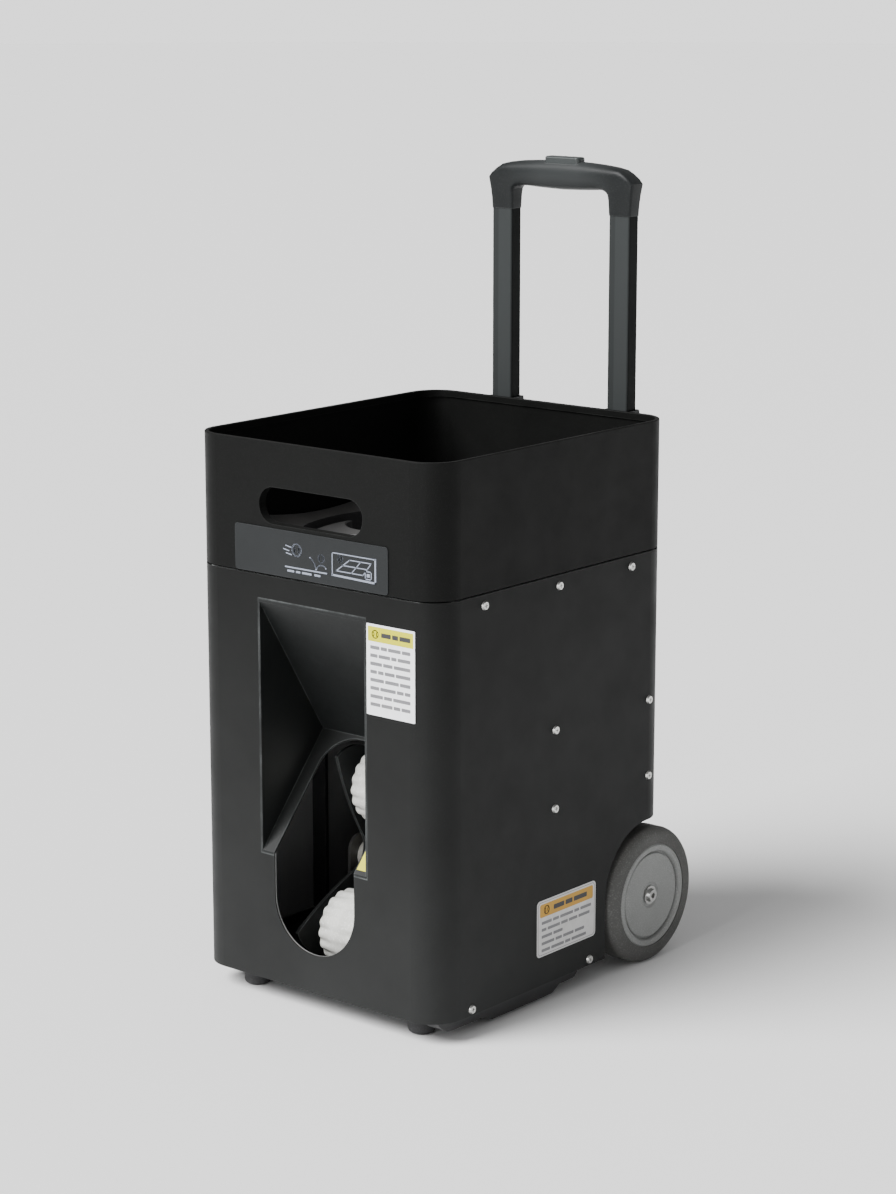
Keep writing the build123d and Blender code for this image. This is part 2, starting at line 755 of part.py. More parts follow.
# ---- launcher head: cheeks, ramp, tie rods ---------------------------------------
with BuildPart() as launcher_cheeks:
    for side in sides.values():
        with BuildSketch(launcher_plane(side * cheek_x)) as cheek_shape:
            with BuildLine():
                for up in (1, -1):
                    mouth_tip = (36, 80 * up)
                    lobe_back = (-12, 91 * up)
                    shoulder = (-66, 42 * up)
                    ThreePointArc(mouth_tip, (9.5, 47.0 * up), (-25, 15 * up))
                    ThreePointArc(mouth_tip, (18, 93 * up), lobe_back)
                    Line(lobe_back, shoulder)
                    Line(shoulder, (-80, 14 * up))
                ThreePointArc((-25, 15), (-31, 0), (-25, -15))
                Line((-80, 14), (-80, -14))
            make_face()
            fillet(cheek_shape.vertices().sort_by(Axis.X)[:4], 9)
            with Locations((0, wheel_offset), (0, -wheel_offset)):
                Circle(9.5, mode=Mode.SUBTRACT)
            with Locations((pivot_u, 0)):
                Circle(pivot_radius, mode=Mode.SUBTRACT)
            with Locations((-40, 52), (-40, -52)):
                Circle(2.5, mode=Mode.SUBTRACT)
        extrude(amount=-side * cheek_thickness)
keep(launcher_cheeks, "launcher_cheeks")

tie_rod_spots = ((-40, 52), (-40, -52))
with BuildPart() as tie_rods:
    with BuildSketch(launcher_plane(cheek_x)):
        with Locations(*tie_rod_spots):
            Circle(4)
    extrude(amount=2 * cheek_x)
    with BuildSketch(launcher_plane(cheek_x + cheek_thickness)):
        with Locations(*tie_rod_spots):
            Circle(2.5)
    extrude(amount=2 * (cheek_x + cheek_thickness))
    for side in sides.values():
        with BuildSketch(launcher_plane(side * (cheek_x + cheek_thickness))):
            with Locations(*tie_rod_spots):
                Circle(4.5)
        extrude(amount=-side * 2.5)
keep(tie_rods, "tie_rods")

ramp_inner = 36.0
ramp_outer = 38.5
ramp_front_u = -34.0
ramp_bend_u = -70.0
ramp_bend_radius = 95.0
ramp_bend_angle = math.radians(26)
with BuildPart() as ball_ramp:
    ramp_end = (
        ramp_bend_u - ramp_bend_radius * math.sin(ramp_bend_angle),
        ramp_bend_radius * (1 - math.cos(ramp_bend_angle)),
    )
    ramp_mid = (
        ramp_bend_u - ramp_bend_radius * math.sin(ramp_bend_angle / 2),
        ramp_bend_radius * (1 - math.cos(ramp_bend_angle / 2)),
    )
    with BuildLine() as ramp_path:
        Line((0, *launcher_point(ramp_front_u, 0)), (0, *launcher_point(ramp_bend_u, 0)))
        ThreePointArc(
            (0, *launcher_point(ramp_bend_u, 0)), (0, *launcher_point(*ramp_mid)),
            (0, *launcher_point(*ramp_end)),
        )
    ramp_start = Plane(
        origin=(0, *launcher_point(ramp_front_u, 0)), x_dir=(1, 0, 0),
        z_dir=(0, -launch_dir[0], -launch_dir[1]),
    )
    with BuildSketch(ramp_start):
        Circle(ramp_outer)
        Circle(ramp_inner, mode=Mode.SUBTRACT)
        with Locations((0, -50)):
            Rectangle(120, 100, mode=Mode.SUBTRACT)
    sweep(path=ramp_path.wires()[0])
    # the trough's tail is cut on a slant, so that it passes under the mouth of the chute
    with BuildSketch(launcher_plane(0)):
        with BuildLine():
            Polyline((-78, 30), (-112, -26), (-116, -60), (-140, -60), (-140, 30), close=True)
        make_face()
    extrude(amount=60, both=True, mode=Mode.SUBTRACT)
    # lugs that reach the cheeks
    for side in sides.values():
        with BuildSketch(launcher_plane(side * cheek_x)):
            with Locations((-58, -6)):
                Rectangle(30, 12)
        extrude(amount=side * (cheek_x - ramp_inner - 0.6))
keep(ball_ramp, "ball_ramp")

# ---- trunnions and their fixed brackets ------------------------------------------
with BuildPart() as trunnions:
    for side in sides.values():
        with BuildSketch(side_plane(side * cheek_x)):
            with Locations((pivot_y, pivot_z)):
                Circle(pivot_radius)
        extrude(amount=side * (bracket_x + bracket_thickness + 2 - cheek_x))
keep(trunnions, "trunnions")

with BuildPart() as tilt_bracket_right:
    with BuildSketch(side_plane(bracket_x)):
        with Locations((pivot_y, (pivot_z + base_top_z) / 2)):
            Rectangle(34, pivot_z - base_top_z)
        with Locations((pivot_y, pivot_z)):
            Circle(17)
            Circle(pivot_radius + running_gap, mode=Mode.SUBTRACT)
    extrude(amount=bracket_thickness)
    with BuildSketch(Plane.XY.offset(base_top_z)):
        with Locations((bracket_x + 10, pivot_y)):
            Rectangle(20, 34)
    extrude(amount=bracket_thickness)
keep(tilt_bracket_right, "tilt_bracket_right")

pinion_pitch = gear_module * pinion_teeth / 2
sector_pitch = gear_module * sector_full_teeth / 2
pinion_y = pivot_y + sector_pitch + pinion_pitch
pinion_z = pivot_z
with BuildPart() as tilt_bracket_left:
    with BuildSketch(side_plane(-bracket_x)) as left_shape:
        with BuildLine():
            Polyline(
                (pivot_y - 17, base_top_z), (pinion_y + 20, base_top_z),
                (pinion_y + 20, pivot_z + 19), (pivot_y - 17, pivot_z + 19), close=True,
            )
        make_face()
        fillet(left_shape.vertices().group_by(Axis.Y)[-1], 15)
        with Locations(((pivot_y + pinion_y) / 2, 62)):
            RectangleRounded(48, 50, 10, mode=Mode.SUBTRACT)
        with Locations((pivot_y, pivot_z)):
            Circle(pivot_radius + running_gap, mode=Mode.SUBTRACT)
        with Locations((pinion_y, pinion_z)):
            Circle(7, mode=Mode.SUBTRACT)
    extrude(amount=-bracket_thickness)
    with BuildSketch(Plane.XY.offset(base_top_z)):
        with Locations((-bracket_x - 10, (pivot_y + pinion_y) / 2)):
            Rectangle(20, pinion_y - pivot_y + 30)
    extrude(amount=bracket_thickness)
keep(tilt_bracket_left, "tilt_bracket_left")


# ---- tilt gears ------------------------------------------------------------------
def gear_tooth_points(teeth):
    """Outline of one involute tooth centred on local +X, from root to tip and back."""
    pitch = gear_module * teeth / 2
    base = pitch * math.cos(math.radians(pressure_angle))
    tip = pitch + 0.8 * gear_module
    root = pitch - 1.1 * gear_module
    backlash = 0.3
    half_pitch_angle = (math.pi * gear_module / 2 - backlash) / 2 / pitch
    roll = math.tan(math.radians(pressure_angle)) - math.radians(pressure_angle)
    flank = []
    steps = 6
    for step in range(steps + 1):
        radius = max(base, root) + (tip - max(base, root)) * step / steps
        phi = math.acos(min(1.0, base / radius))
        angle = half_pitch_angle + roll - (math.tan(phi) - phi)
        flank.append((radius, angle))
    if root < base:
        flank.insert(0, (root - 0.5, flank[0][1]))
    else:
        flank.insert(0, (root - 0.5, flank[0][1] + 0.004))
    lower = [(r * math.cos(a), -r * math.sin(a)) for r, a in flank]
    upper = [(r * math.cos(a), r * math.sin(a)) for r, a in reversed(flank)]
    return lower + upper


tooth_angle = 360.0 / sector_full_teeth
sector_teeth = range(-4, 8)
sector_root = sector_pitch - 1.1 * gear_module
pivot_plane = Plane(origin=(gear_low_x, pivot_y, pivot_z), x_dir=(0, 1, 0), z_dir=(1, 0, 0))
with BuildPart() as sector_gear:
    with BuildSketch(pivot_plane):
        Circle(14)
        low_angle = (sector_teeth[0] - 0.5) * tooth_angle
        high_angle = (sector_teeth[-1] + 0.5) * tooth_angle
        with BuildLine():
            arc_start = (
                sector_root * math.cos(math.radians(low_angle)),
                sector_root * math.sin(math.radians(low_angle)),
            )
            arc_end = (
                sector_root * math.cos(math.radians(high_angle)),
                sector_root * math.sin(math.radians(high_angle)),
            )
            CenterArc((0, 0), sector_root, low_angle, high_angle - low_angle)
            Polyline(arc_start, (0, -6), (-4, 6), arc_end)
        make_face()
        for index in sector_teeth:
            with BuildLine(Plane.XY.rotated((0, 0, index * tooth_angle))):
                Polyline(*gear_tooth_points(sector_full_teeth), close=True)
            make_face()
        with PolarLocations(44, 3, start_angle=-8, angular_range=32):
            Circle(7, mode=Mode.SUBTRACT)
        Circle(pivot_radius, mode=Mode.SUBTRACT)
    extrude(amount=gear_thickness)
keep(sector_gear, "sector_gear")

pinion_plane = Plane(origin=(gear_low_x, pinion_y, pinion_z), x_dir=(0, 1, 0), z_dir=(1, 0, 0))
with BuildPart() as tilt_pinion:
    with BuildSketch(pinion_plane):
        Circle(pinion_pitch - 1.1 * gear_module)
        for index in range(pinion_teeth):
            with BuildLine(Plane.XY.rotated((0, 0, (index + 0.5) * 360.0 / pinion_teeth))):
                Polyline(*gear_tooth_points(pinion_teeth), close=True)
            make_face()
    extrude(amount=gear_thickness)
    # drive shaft, one piece with the pinion
    with BuildSketch(side_plane(gear_low_x + gear_thickness)):
        with Locations((pinion_y, pinion_z)):
            Circle(3)
    extrude(amount=-32)
keep(tilt_pinion, "tilt_pinion")

with BuildPart() as tilt_gearmotor:
    mount_x = -bracket_x - bracket_thickness
    with BuildSketch(side_plane(mount_x)):
        with Locations((pinion_y, pinion_z)):
            RectangleRounded(38, 34, 5)
    extrude(amount=-22)
    with BuildSketch(side_plane(mount_x - 22)):
        with Locations((pinion_y, pinion_z)):
            Circle(13)
    extrude(amount=-30)
    with BuildSketch(side_plane(mount_x)):
        with Locations((pinion_y, pinion_z)):
            Circle(3 + running_gap)
    extrude(amount=-20, mode=Mode.SUBTRACT)
keep(tilt_gearmotor, "tilt_gearmotor")

# ---- launch wheels, shafts, bearings and motors ----------------------------------
bump_count = 14
launch_hub_radius = 20.0
bearing_radius = 9.5
motor_start_x = cheek_x + cheek_thickness
motor_length = 62.0
shaft_low_x = -(cheek_x + cheek_thickness + 1.5)
for label, v in {"upper": wheel_offset, "lower": -wheel_offset}.items():
    with BuildPart() as launch_tyre:
        with BuildSketch(launcher_plane(launch_half_width)):
            with Locations((0, v)):
                Circle(launch_radius - 2.4)
                with PolarLocations(launch_radius - 5.6, bump_count):
                    Circle(5.6)
                Circle(launch_hub_radius, mode=Mode.SUBTRACT)
        extrude(amount=2 * launch_half_width)
        flat_ends = launch_tyre.faces().filter_by(Axis.X)
        outer_edges = flat_ends.edges().filter_by(
            lambda e: abs(e.radius - launch_hub_radius) > 1 if e.geom_type == GeomType.CIRCLE else True
        )
        chamfer(outer_edges, 1.5)
    keep(launch_tyre, f"{label}_launch_tyre")
    with BuildPart() as launch_hub:
        with BuildSketch(launcher_plane(20)):
            with Locations((0, v)):
                Circle(launch_hub_radius)
        extrude(amount=40)
        for side in sides.values():
            with BuildSketch(launcher_plane(side * 20)):
                with Locations((0, v)):
                    Circle(17)
                    Circle(8, mode=Mode.SUBTRACT)
            extrude(amount=side * 6, mode=Mode.SUBTRACT)
        # drive shaft, one piece with the hub
        with BuildSketch(launcher_plane(shaft_low_x)):
            with Locations((0, v)):
                Circle(shaft_radius)
        extrude(amount=-(motor_start_x + 16 - shaft_low_x))
    keep(launch_hub, f"{label}_launch_hub")

with BuildPart() as launch_motors:
    for v in (wheel_offset, -wheel_offset):
        with BuildSketch(launcher_plane(motor_start_x)):
            with Locations((0, v)):
                Circle(motor_radius)
        extrude(amount=-motor_length)
        with BuildSketch(launcher_plane(cheek_x)):
            with Locations((0, v)):
                Circle(bearing_radius)
        extrude(amount=-cheek_thickness)
        with BuildSketch(launcher_plane(motor_start_x + motor_length)):
            with Locations((0, v)):
                Circle(7)
            with Locations((-14, v), (14, v)):
                Rectangle(2, 6)
        extrude(amount=-4)
        with BuildSketch(launcher_plane(cheek_x)):
            with Locations((0, v)):
                Circle(shaft_radius + running_gap)
        extrude(amount=-(cheek_thickness + 18), mode=Mode.SUBTRACT)
    fillet(launch_motors.edges().filter_by(GeomType.CIRCLE).filter_by(
        lambda e: abs(e.radius - motor_radius) < 0.1 and e.center().X > motor_start_x + 1), 3)
keep(launch_motors, "launch_motors")

with BuildPart() as launch_bearings:
    for v in (wheel_offset, -wheel_offset):
        with BuildSketch(launcher_plane(-cheek_x + 2)):
            with Locations((0, v)):
                Circle(bearing_radius)
                Circle(shaft_radius + running_gap, mode=Mode.SUBTRACT)
        extrude(amount=cheek_thickness + 2)
keep(launch_bearings, "launch_bearings")

# ---- battery and electronics -----------------------------------------------------
battery_size = (151.0, 65.0, 94.0)
battery_y = 108.0
battery_top_z = base_top_z + battery_size[2]
with BuildPart() as battery_pack:
    with BuildSketch(Plane.XY.offset(base_top_z)):
        with Locations((0, battery_y)):
            RectangleRounded(battery_size[0], battery_size[1], 3)
    extrude(amount=battery_size[2])
    for terminal_x in (-60.0, 60.0):
        with BuildSketch(Plane.XY.offset(battery_top_z)):
            with Locations((terminal_x, battery_y - 22)):
                Rectangle(6, 5)
        extrude(amount=6)
keep(battery_pack, "battery_pack")

with BuildPart() as battery_strap:
    strap_half = battery_size[0] / 2
    with BuildSketch(front_plane(battery_y + 11)):
        with BuildLine():
            Polyline(
                (-strap_half - 14, base_top_z), (-strap_half, base_top_z),
                (-strap_half, battery_top_z), (strap_half, battery_top_z),
                (strap_half, base_top_z), (strap_half + 14, base_top_z),
                (strap_half + 14, base_top_z + 2), (strap_half + 2, base_top_z + 2),
                (strap_half + 2, battery_top_z + 2), (-strap_half - 2, battery_top_z + 2),
                (-strap_half - 2, base_top_z + 2), (-strap_half - 14, base_top_z + 2), close=True,
            )
        make_face()
    extrude(amount=22)
keep(battery_strap, "battery_strap")

board_x = -130.0
board_y = (2.0, 100.0)
board_z = (205.0, 325.0)
with BuildPart() as control_board:
    board_mid = ((board_y[0] + board_y[1]) / 2, (board_z[0] + board_z[1]) / 2)
    with BuildSketch(side_plane(board_x)):
        with Locations(board_mid):
            Rectangle(board_y[1] - board_y[0], board_z[1] - board_z[0])
    extrude(amount=1.6)
    parts_on_board = [
        ((-30, 40), (22, 24), 9), ((0, 40), (18, 24), 9), ((30, 40), (18, 24), 9),
        ((-10, 0), (30, 30), 3), ((28, -5), (20, 36), 16), ((-25, -42), (36, 14), 12),
        ((20, -42), (30, 14), 12),
    ]
    for (dy, dz), (length_y, length_z), height in parts_on_board:
        with BuildSketch(side_plane(board_x + 1.6)):
            with Locations((board_mid[0] + dy, board_mid[1] + dz)):
                Rectangle(length_y, length_z)
        extrude(amount=height)
keep(control_board, "control_board")

with BuildPart() as board_standoffs:
    with BuildSketch(side_plane(-inner_half)):
        with Locations(board_mid):
            with GridLocations(88, 110, 2, 2):
                Circle(3)
    extrude(amount=board_x + inner_half)
keep(board_standoffs, "board_standoffs")

# ---- rear controls ---------------------------------------------------------------
rocker_tilt = 8.0
rocker_pivot_y = rear_panel_y - 1.5
rocker_cavity_half = 10.6
with BuildPart() as switch_bezel:
    with BuildSketch(front_plane(rear_panel_y)):
        with Locations((switch_x, rear_control_z)):
            RectangleRounded(24, 31, 2)
    extrude(amount=-2)
    with BuildSketch(front_plane(rear_panel_y)):
        with Locations((switch_x, rear_control_z)):
            Rectangle(18.8, 24.8)
    extrude(amount=16)
    with BuildSketch(front_plane(rear_panel_y + 3)):
        with Locations((switch_x, rear_control_z)):
            Rectangle(15, 2 * rocker_cavity_half)
    extrude(amount=16, mode=Mode.SUBTRACT)
    with BuildSketch(front_plane(rear_panel_y - 16)):
        with Locations((switch_x, rear_control_z - 6), (switch_x, rear_control_z + 6)):
            Rectangle(5, 1)
    extrude(amount=7)
keep(switch_bezel, "switch_bezel")

with BuildPart() as power_rocker:
    rocker_plane = Plane(
        origin=(switch_x - 7, rocker_pivot_y, rear_control_z), x_dir=(0, 1, 0), z_dir=(1, 0, 0)
    )
    with BuildSketch(rocker_plane.rotated((rocker_tilt, 0, 0))):
        Circle(10.2)
        with BuildLine():
            Polyline(
                (-6, -12), (3.6, -12), (3.6, -8), (1.6, 0), (3.6, 8), (3.6, 12), (-6, 12),
                close=True,
            )
        make_face(mode=Mode.INTERSECT)
    extrude(amount=14)
keep(power_rocker, "power_rocker")

with BuildPart() as charge_socket:
    with BuildSketch(front_plane(rear_panel_y)):
        with Locations((socket_x, rear_control_z)):
            Circle(12)
    extrude(amount=-3)
    with BuildSketch(front_plane(rear_panel_y)):
        with Locations((socket_x, rear_control_z)):
            Circle(8.4)
    extrude(amount=18)
    with BuildSketch(front_plane(rear_panel_y + 4)):
        with Locations((socket_x, rear_control_z)):
            Circle(5.5)
    extrude(amount=14, mode=Mode.SUBTRACT)
    with BuildSketch(front_plane(rear_panel_y - 12)):
        with Locations((socket_x, rear_control_z)):
            Circle(1.2)
    extrude(amount=-12)
keep(charge_socket, "charge_socket")

# ---- trolley handle: fixed outer tubes, collars and brackets ---------------------
cavity = (inner_tube[0] + 2 * tube_gap, inner_tube[1] + 2 * tube_gap)
tube_spots = ((-tube_x, tube_y), (tube_x, tube_y))
with BuildPart() as outer_tubes:
    with BuildSketch(Plane.XY.offset(outer_tube_low_z)):
        with Locations(*tube_spots):
            RectangleRounded(outer_tube[0], outer_tube[1], 3.5)
            RectangleRounded(cavity[0], cavity[1], 2.5, mode=Mode.SUBTRACT)
    extrude(amount=outer_tube_top_z - outer_tube_low_z)
keep(outer_tubes, "outer_tubes")

with BuildPart() as tube_collars:
    for side in sides.values():
        with BuildSketch(Plane.XY.offset(outer_tube_top_z - 14)):
            with Locations((side * tube_x, tube_y)):
                RectangleRounded(outer_tube[0] + 4, outer_tube[1] + 4, 5)
                RectangleRounded(outer_tube[0], outer_tube[1], 3.5, mode=Mode.SUBTRACT)
        extrude(amount=14)
        with BuildSketch(Plane.XY.offset(outer_tube_top_z)):
            with Locations((side * tube_x, tube_y)):
                RectangleRounded(outer_tube[0] + 4, outer_tube[1] + 4, 5)
                RectangleRounded(cavity[0], cavity[1], 2.5, mode=Mode.SUBTRACT)
        extrude(amount=collar_top_z - outer_tube_top_z, taper=8)
keep(tube_collars, "tube_collars")

with BuildPart() as tube_plugs:
    for side in sides.values():
        with BuildSketch(Plane.XY.offset(outer_tube_low_z - 4)):
            with Locations((side * tube_x, tube_y)):
                RectangleRounded(outer_tube[0] + 1, outer_tube[1] + 1, 4)
        extrude(amount=4)
        with BuildSketch(Plane.XY.offset(outer_tube_low_z)):
            with Locations((side * tube_x, tube_y)):
                RectangleRounded(cavity[0], cavity[1], 2.5)
        extrude(amount=6)
keep(tube_plugs, "tube_plugs")

bracket_height = 30.0
with BuildPart() as handle_brackets:
    for low_z in (335.0, 96.0):
        with BuildSketch(front_plane(rear_panel_y)):
            with Locations((0, low_z + bracket_height / 2)):
                RectangleRounded(186, bracket_height, 5)
        extrude(amount=-2.5)
        for side in sides.values():
            with BuildSketch(Plane.XY.offset(low_z)):
                with Locations((side * tube_x, (rear_panel_y + tube_y + 12.5) / 2)):
                    RectangleRounded(33, tube_y + 12.5 - rear_panel_y, 3)
                with Locations((side * tube_x, tube_y)):
                    RectangleRounded(outer_tube[0], outer_tube[1], 3.5, mode=Mode.SUBTRACT)
            extrude(amount=bracket_height)
keep(handle_brackets, "handle_brackets")

# ---- trolley handle: sliding tubes, grip, button and latch -----------------------
tube_wall = 1.5
socket_top_z = 692.0
with BuildPart() as inner_tubes:
    with BuildSketch(Plane.XY.offset(inner_tube_low_z)):
        with Locations(*tube_spots):
            RectangleRounded(inner_tube[0], inner_tube[1], inner_tube_corner)
            RectangleRounded(
                inner_tube[0] - 2 * tube_wall, inner_tube[1] - 2 * tube_wall, 1.5,
                mode=Mode.SUBTRACT,
            )
    extrude(amount=socket_top_z - inner_tube_low_z)
keep(inner_tubes, "inner_tubes")

grip_half = 82.0
grip_depth = 20.5
grip_leg_in = tube_x - 13.3
grip_leg_out = tube_x + 13.3
link_z = 703.5
link_height = 4.0
button_travel = 3.5
channel_low_z = link_z - button_travel - 0.6
button_floor_z = 713.0
with BuildPart() as handle_grip:
    with BuildSketch(front_plane(tube_y)):
        with BuildLine():
            ThreePointArc((-74, 716.5), (0, grip_top_z), (74, 716.5))
            ThreePointArc((-49, 697.0), (0, 697.6), (49, 697.0))
            for side in sides.values():
                Line((side * 74, 716.5), (side * (grip_half - 1.5), 709.5))
                Line((side * (grip_half - 1.5), 709.5), (side * grip_half, 704))
                Line((side * grip_half, 704), (side * grip_leg_out, grip_low_z))
                Line((side * grip_leg_out, grip_low_z), (side * grip_leg_in, grip_low_z))
                Line((side * grip_leg_in, grip_low_z), (side * grip_leg_in, 691))
                Line((side * grip_leg_in, 691), (side * 49, 697.0))
        make_face()
    extrude(amount=grip_depth / 2, both=True)
    rounded = handle_grip.faces().filter_by(Axis.Y).edges()
    fillet(rounded.filter_by(lambda edge: edge.center().Z > grip_low_z + 1), 4.5)
    # sockets for the sliding tubes, the link channel and the button pocket
    for side in sides.values():
        with BuildSketch(Plane.XY.offset(grip_low_z - 1)):
            with Locations((side * tube_x, tube_y)):
                RectangleRounded(inner_tube[0], inner_tube[1], inner_tube_corner)
        extrude(amount=socket_top_z - grip_low_z + 1, mode=Mode.SUBTRACT)
        with BuildSketch(Plane.XY.offset(socket_top_z)):
            with Locations((side * tube_x, tube_y)):
                Circle(3.5)
        extrude(amount=14, mode=Mode.SUBTRACT)
    with BuildSketch(Plane.XY.offset(channel_low_z)):
        with Locations((0, tube_y)):
            Rectangle(2 * tube_x + 8, 8)
    extrude(amount=link_z + link_height + 1 - channel_low_z, mode=Mode.SUBTRACT)
    with BuildSketch(Plane.XY.offset(link_z)):
        with Locations((0, tube_y)):
            Circle(4)
    extrude(amount=15, mode=Mode.SUBTRACT)
    with BuildSketch(Plane.XY.offset(button_floor_z)):
        with Locations((0, tube_y)):
            RectangleRounded(40.8, 12.8, 4.4)
    extrude(amount=20, mode=Mode.SUBTRACT)
keep(handle_grip, "handle_grip")

with BuildPart() as handle_button:
    with BuildSketch(Plane.XY.offset(button_floor_z + button_travel + 0.5)):
        with Locations((0, tube_y)):
            RectangleRounded(40, 12, 4)
    extrude(amount=9)
    fillet(handle_button.faces().sort_by(Axis.Z)[-1].edges(), 2)
    with BuildSketch(Plane.XY.offset(link_z + link_height)):
        with Locations((0, tube_y)):
            Circle(3)
    extrude(amount=button_floor_z + button_travel + 0.5 - link_z - link_height)
keep(handle_button, "handle_button")

with BuildPart() as latch_link:
    with BuildSketch(Plane.XY.offset(link_z)):
        with Locations((0, tube_y)):
            Rectangle(2 * tube_x + 5, 6)
    extrude(amount=link_height)
    with BuildSketch(Plane.XY.offset(link_z)):
        with Locations((-tube_x, tube_y), (tube_x, tube_y)):
            Circle(2)
    extrude(amount=-(link_z - inner_tube_low_z - 14))
keep(latch_link, "latch_link")

with BuildPart() as latch_plungers:
    for side in sides.values():
        with BuildSketch(Plane.XY.offset(inner_tube_low_z)):
            with Locations((side * tube_x, tube_y)):
                RectangleRounded(
                    inner_tube[0] - 2 * tube_wall, inner_tube[1] - 2 * tube_wall, 1.5
                )
        extrude(amount=9)
keep(latch_plungers, "latch_plungers")
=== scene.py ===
import bpy
import bmesh
import json
import math
from mathutils import Matrix, Vector


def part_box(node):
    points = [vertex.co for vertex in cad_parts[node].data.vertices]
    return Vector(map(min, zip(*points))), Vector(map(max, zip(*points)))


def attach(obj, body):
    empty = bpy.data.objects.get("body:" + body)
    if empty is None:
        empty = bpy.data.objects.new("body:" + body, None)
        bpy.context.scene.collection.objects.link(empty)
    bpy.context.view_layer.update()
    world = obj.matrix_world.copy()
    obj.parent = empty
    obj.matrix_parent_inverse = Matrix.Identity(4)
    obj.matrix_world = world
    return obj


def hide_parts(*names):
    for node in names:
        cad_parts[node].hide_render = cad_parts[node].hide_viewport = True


# Looks of a portable tennis ball machine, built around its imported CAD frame.
# Lengths are metres in the frame's own axes: +Z up, the ball exit faces -Y.

# colours of settled dust, of stains on bare metal and of the film of road dirt
DUST = (0.22, 0.21, 0.19)
METAL_STAIN = (0.3, 0.29, 0.27)
ROAD_FILM = (0.30, 0.31, 0.31)
# heights where the road dirt is full and where it ends
ROAD_FILM_FOOT = 0.02
ROAD_FILM_TOP = 0.42
# spread of the rounded normal at which edge wear and painted edge highlight start and are full
EDGE_START = 0.02
EDGE_FULL = 0.25
# the sheet's inner skin starts this far in from a flat side, and from both sides together at a corner
SKIN_DEPTH = 0.0014
CORNER_DEPTH = 0.0236
# sliding tubes: middle of each tube, and its bands of painted light on the front face as start, end and
# strength across the tube
TUBE_CENTRE = 0.0673
TUBE_LIGHT_BANDS = ((-0.0042, 0.0104, 0.8), (-0.0112, 0.0112, 0.60))
BAND_BLUR = 0.0002
# grip: painted highlight full within the first distance from the middle, gone past the second
HIGHLIGHT_FULL_TO = 0.020
HIGHLIGHT_GONE_FROM = 0.062
# printed marks
INK_THICKNESS = 0.00006
# launch tyres: lobes round the tread and their depth, the bore radius, and how finely each stretch is divided
LOBES = 18
LOBE_DEPTH = 0.0027
TYRE_BORE = 0.0201
LOBE_STEPS = 12
SHOULDER_STEPS = 7
TREAD_STEPS = 12
# handle grip: points round each section, and the button pocket with its corner centres and radius
GRIP_POINTS = 48
POCKET_FLOOR = 0.713
POCKET_HEIGHT = 0.02
POCKET_REACH_X = 0.0162
POCKET_REACH_Y = 0.0022
POCKET_CORNER = 0.0042
# floor and the distant wall, whose glow is set to match the lit floor
FLOOR_HALF = 60.0
FLOOR_ALBEDO = 0.92
WALL_PANELS = 96
WALL_RADIUS = 26.0
WALL_FOOT = -0.5
WALL_TOP = 24.0
WALL_GLOW = 1.70

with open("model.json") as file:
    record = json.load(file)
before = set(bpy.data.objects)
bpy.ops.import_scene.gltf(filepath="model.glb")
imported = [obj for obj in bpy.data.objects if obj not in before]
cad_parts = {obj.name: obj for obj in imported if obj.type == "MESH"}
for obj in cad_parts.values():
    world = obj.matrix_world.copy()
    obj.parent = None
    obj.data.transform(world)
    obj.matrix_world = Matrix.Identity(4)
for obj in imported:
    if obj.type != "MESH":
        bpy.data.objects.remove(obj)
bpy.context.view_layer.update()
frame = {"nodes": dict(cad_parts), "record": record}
nodes = frame["nodes"]


# ---- materials ---------------------------------------------------------------------
def node_tree(name):
    """A new material with a plain Principled shader, and its node tree."""
    material = bpy.data.materials.new(name)
    material.use_nodes = True
    return material, material.node_tree


def separated(tree, vector):
    """X, Y and Z sockets of a vector socket."""
    split = tree.nodes.new("ShaderNodeSeparateXYZ")
    tree.links.new(vector, split.inputs[0])
    return split.outputs


def add_noise(tree, coords, scale, detail, rough):
    """A noise texture driven by object coordinates."""
    noise = tree.nodes.new("ShaderNodeTexNoise")
    noise.inputs["Scale"].default_value = scale
    noise.inputs["Detail"].default_value = detail
    noise.inputs["Roughness"].default_value = rough
    tree.links.new(coords, noise.inputs["Vector"])
    return noise.outputs["Fac"]


def remap(tree, value, low, high, new_low, new_high):
    """Value from low..high carried over to new_low..new_high and held inside it."""
    node = tree.nodes.new("ShaderNodeMapRange")
    node.inputs["From Min"].default_value = low
    node.inputs["From Max"].default_value = high
    node.inputs["To Min"].default_value = new_low
    node.inputs["To Max"].default_value = new_high
    tree.links.new(value, node.inputs["Value"])
    return node.outputs["Result"]


def mix_colour(tree, factor, first, second):
    """Mix two colours (tuples or sockets) by a factor socket."""
    node = tree.nodes.new("ShaderNodeMix")
    node.data_type = "RGBA"
    for socket, value in ((node.inputs[6], first), (node.inputs[7], second)):
        if isinstance(value, tuple):
            socket.default_value = (*value, 1.0)
        else:
            tree.links.new(value, socket)
    tree.links.new(factor, node.inputs[0])
    return node.outputs[2]


def math_node(tree, operation, first, second):
    """A math node on sockets or numbers."""
    node = tree.nodes.new("ShaderNodeMath")
    node.operation = operation
    for socket, value in ((node.inputs[0], first), (node.inputs[1], second)):
        if isinstance(value, (int, float)):
            socket.default_value = value
        else:
            tree.links.new(value, socket)
    return node.outputs[0]


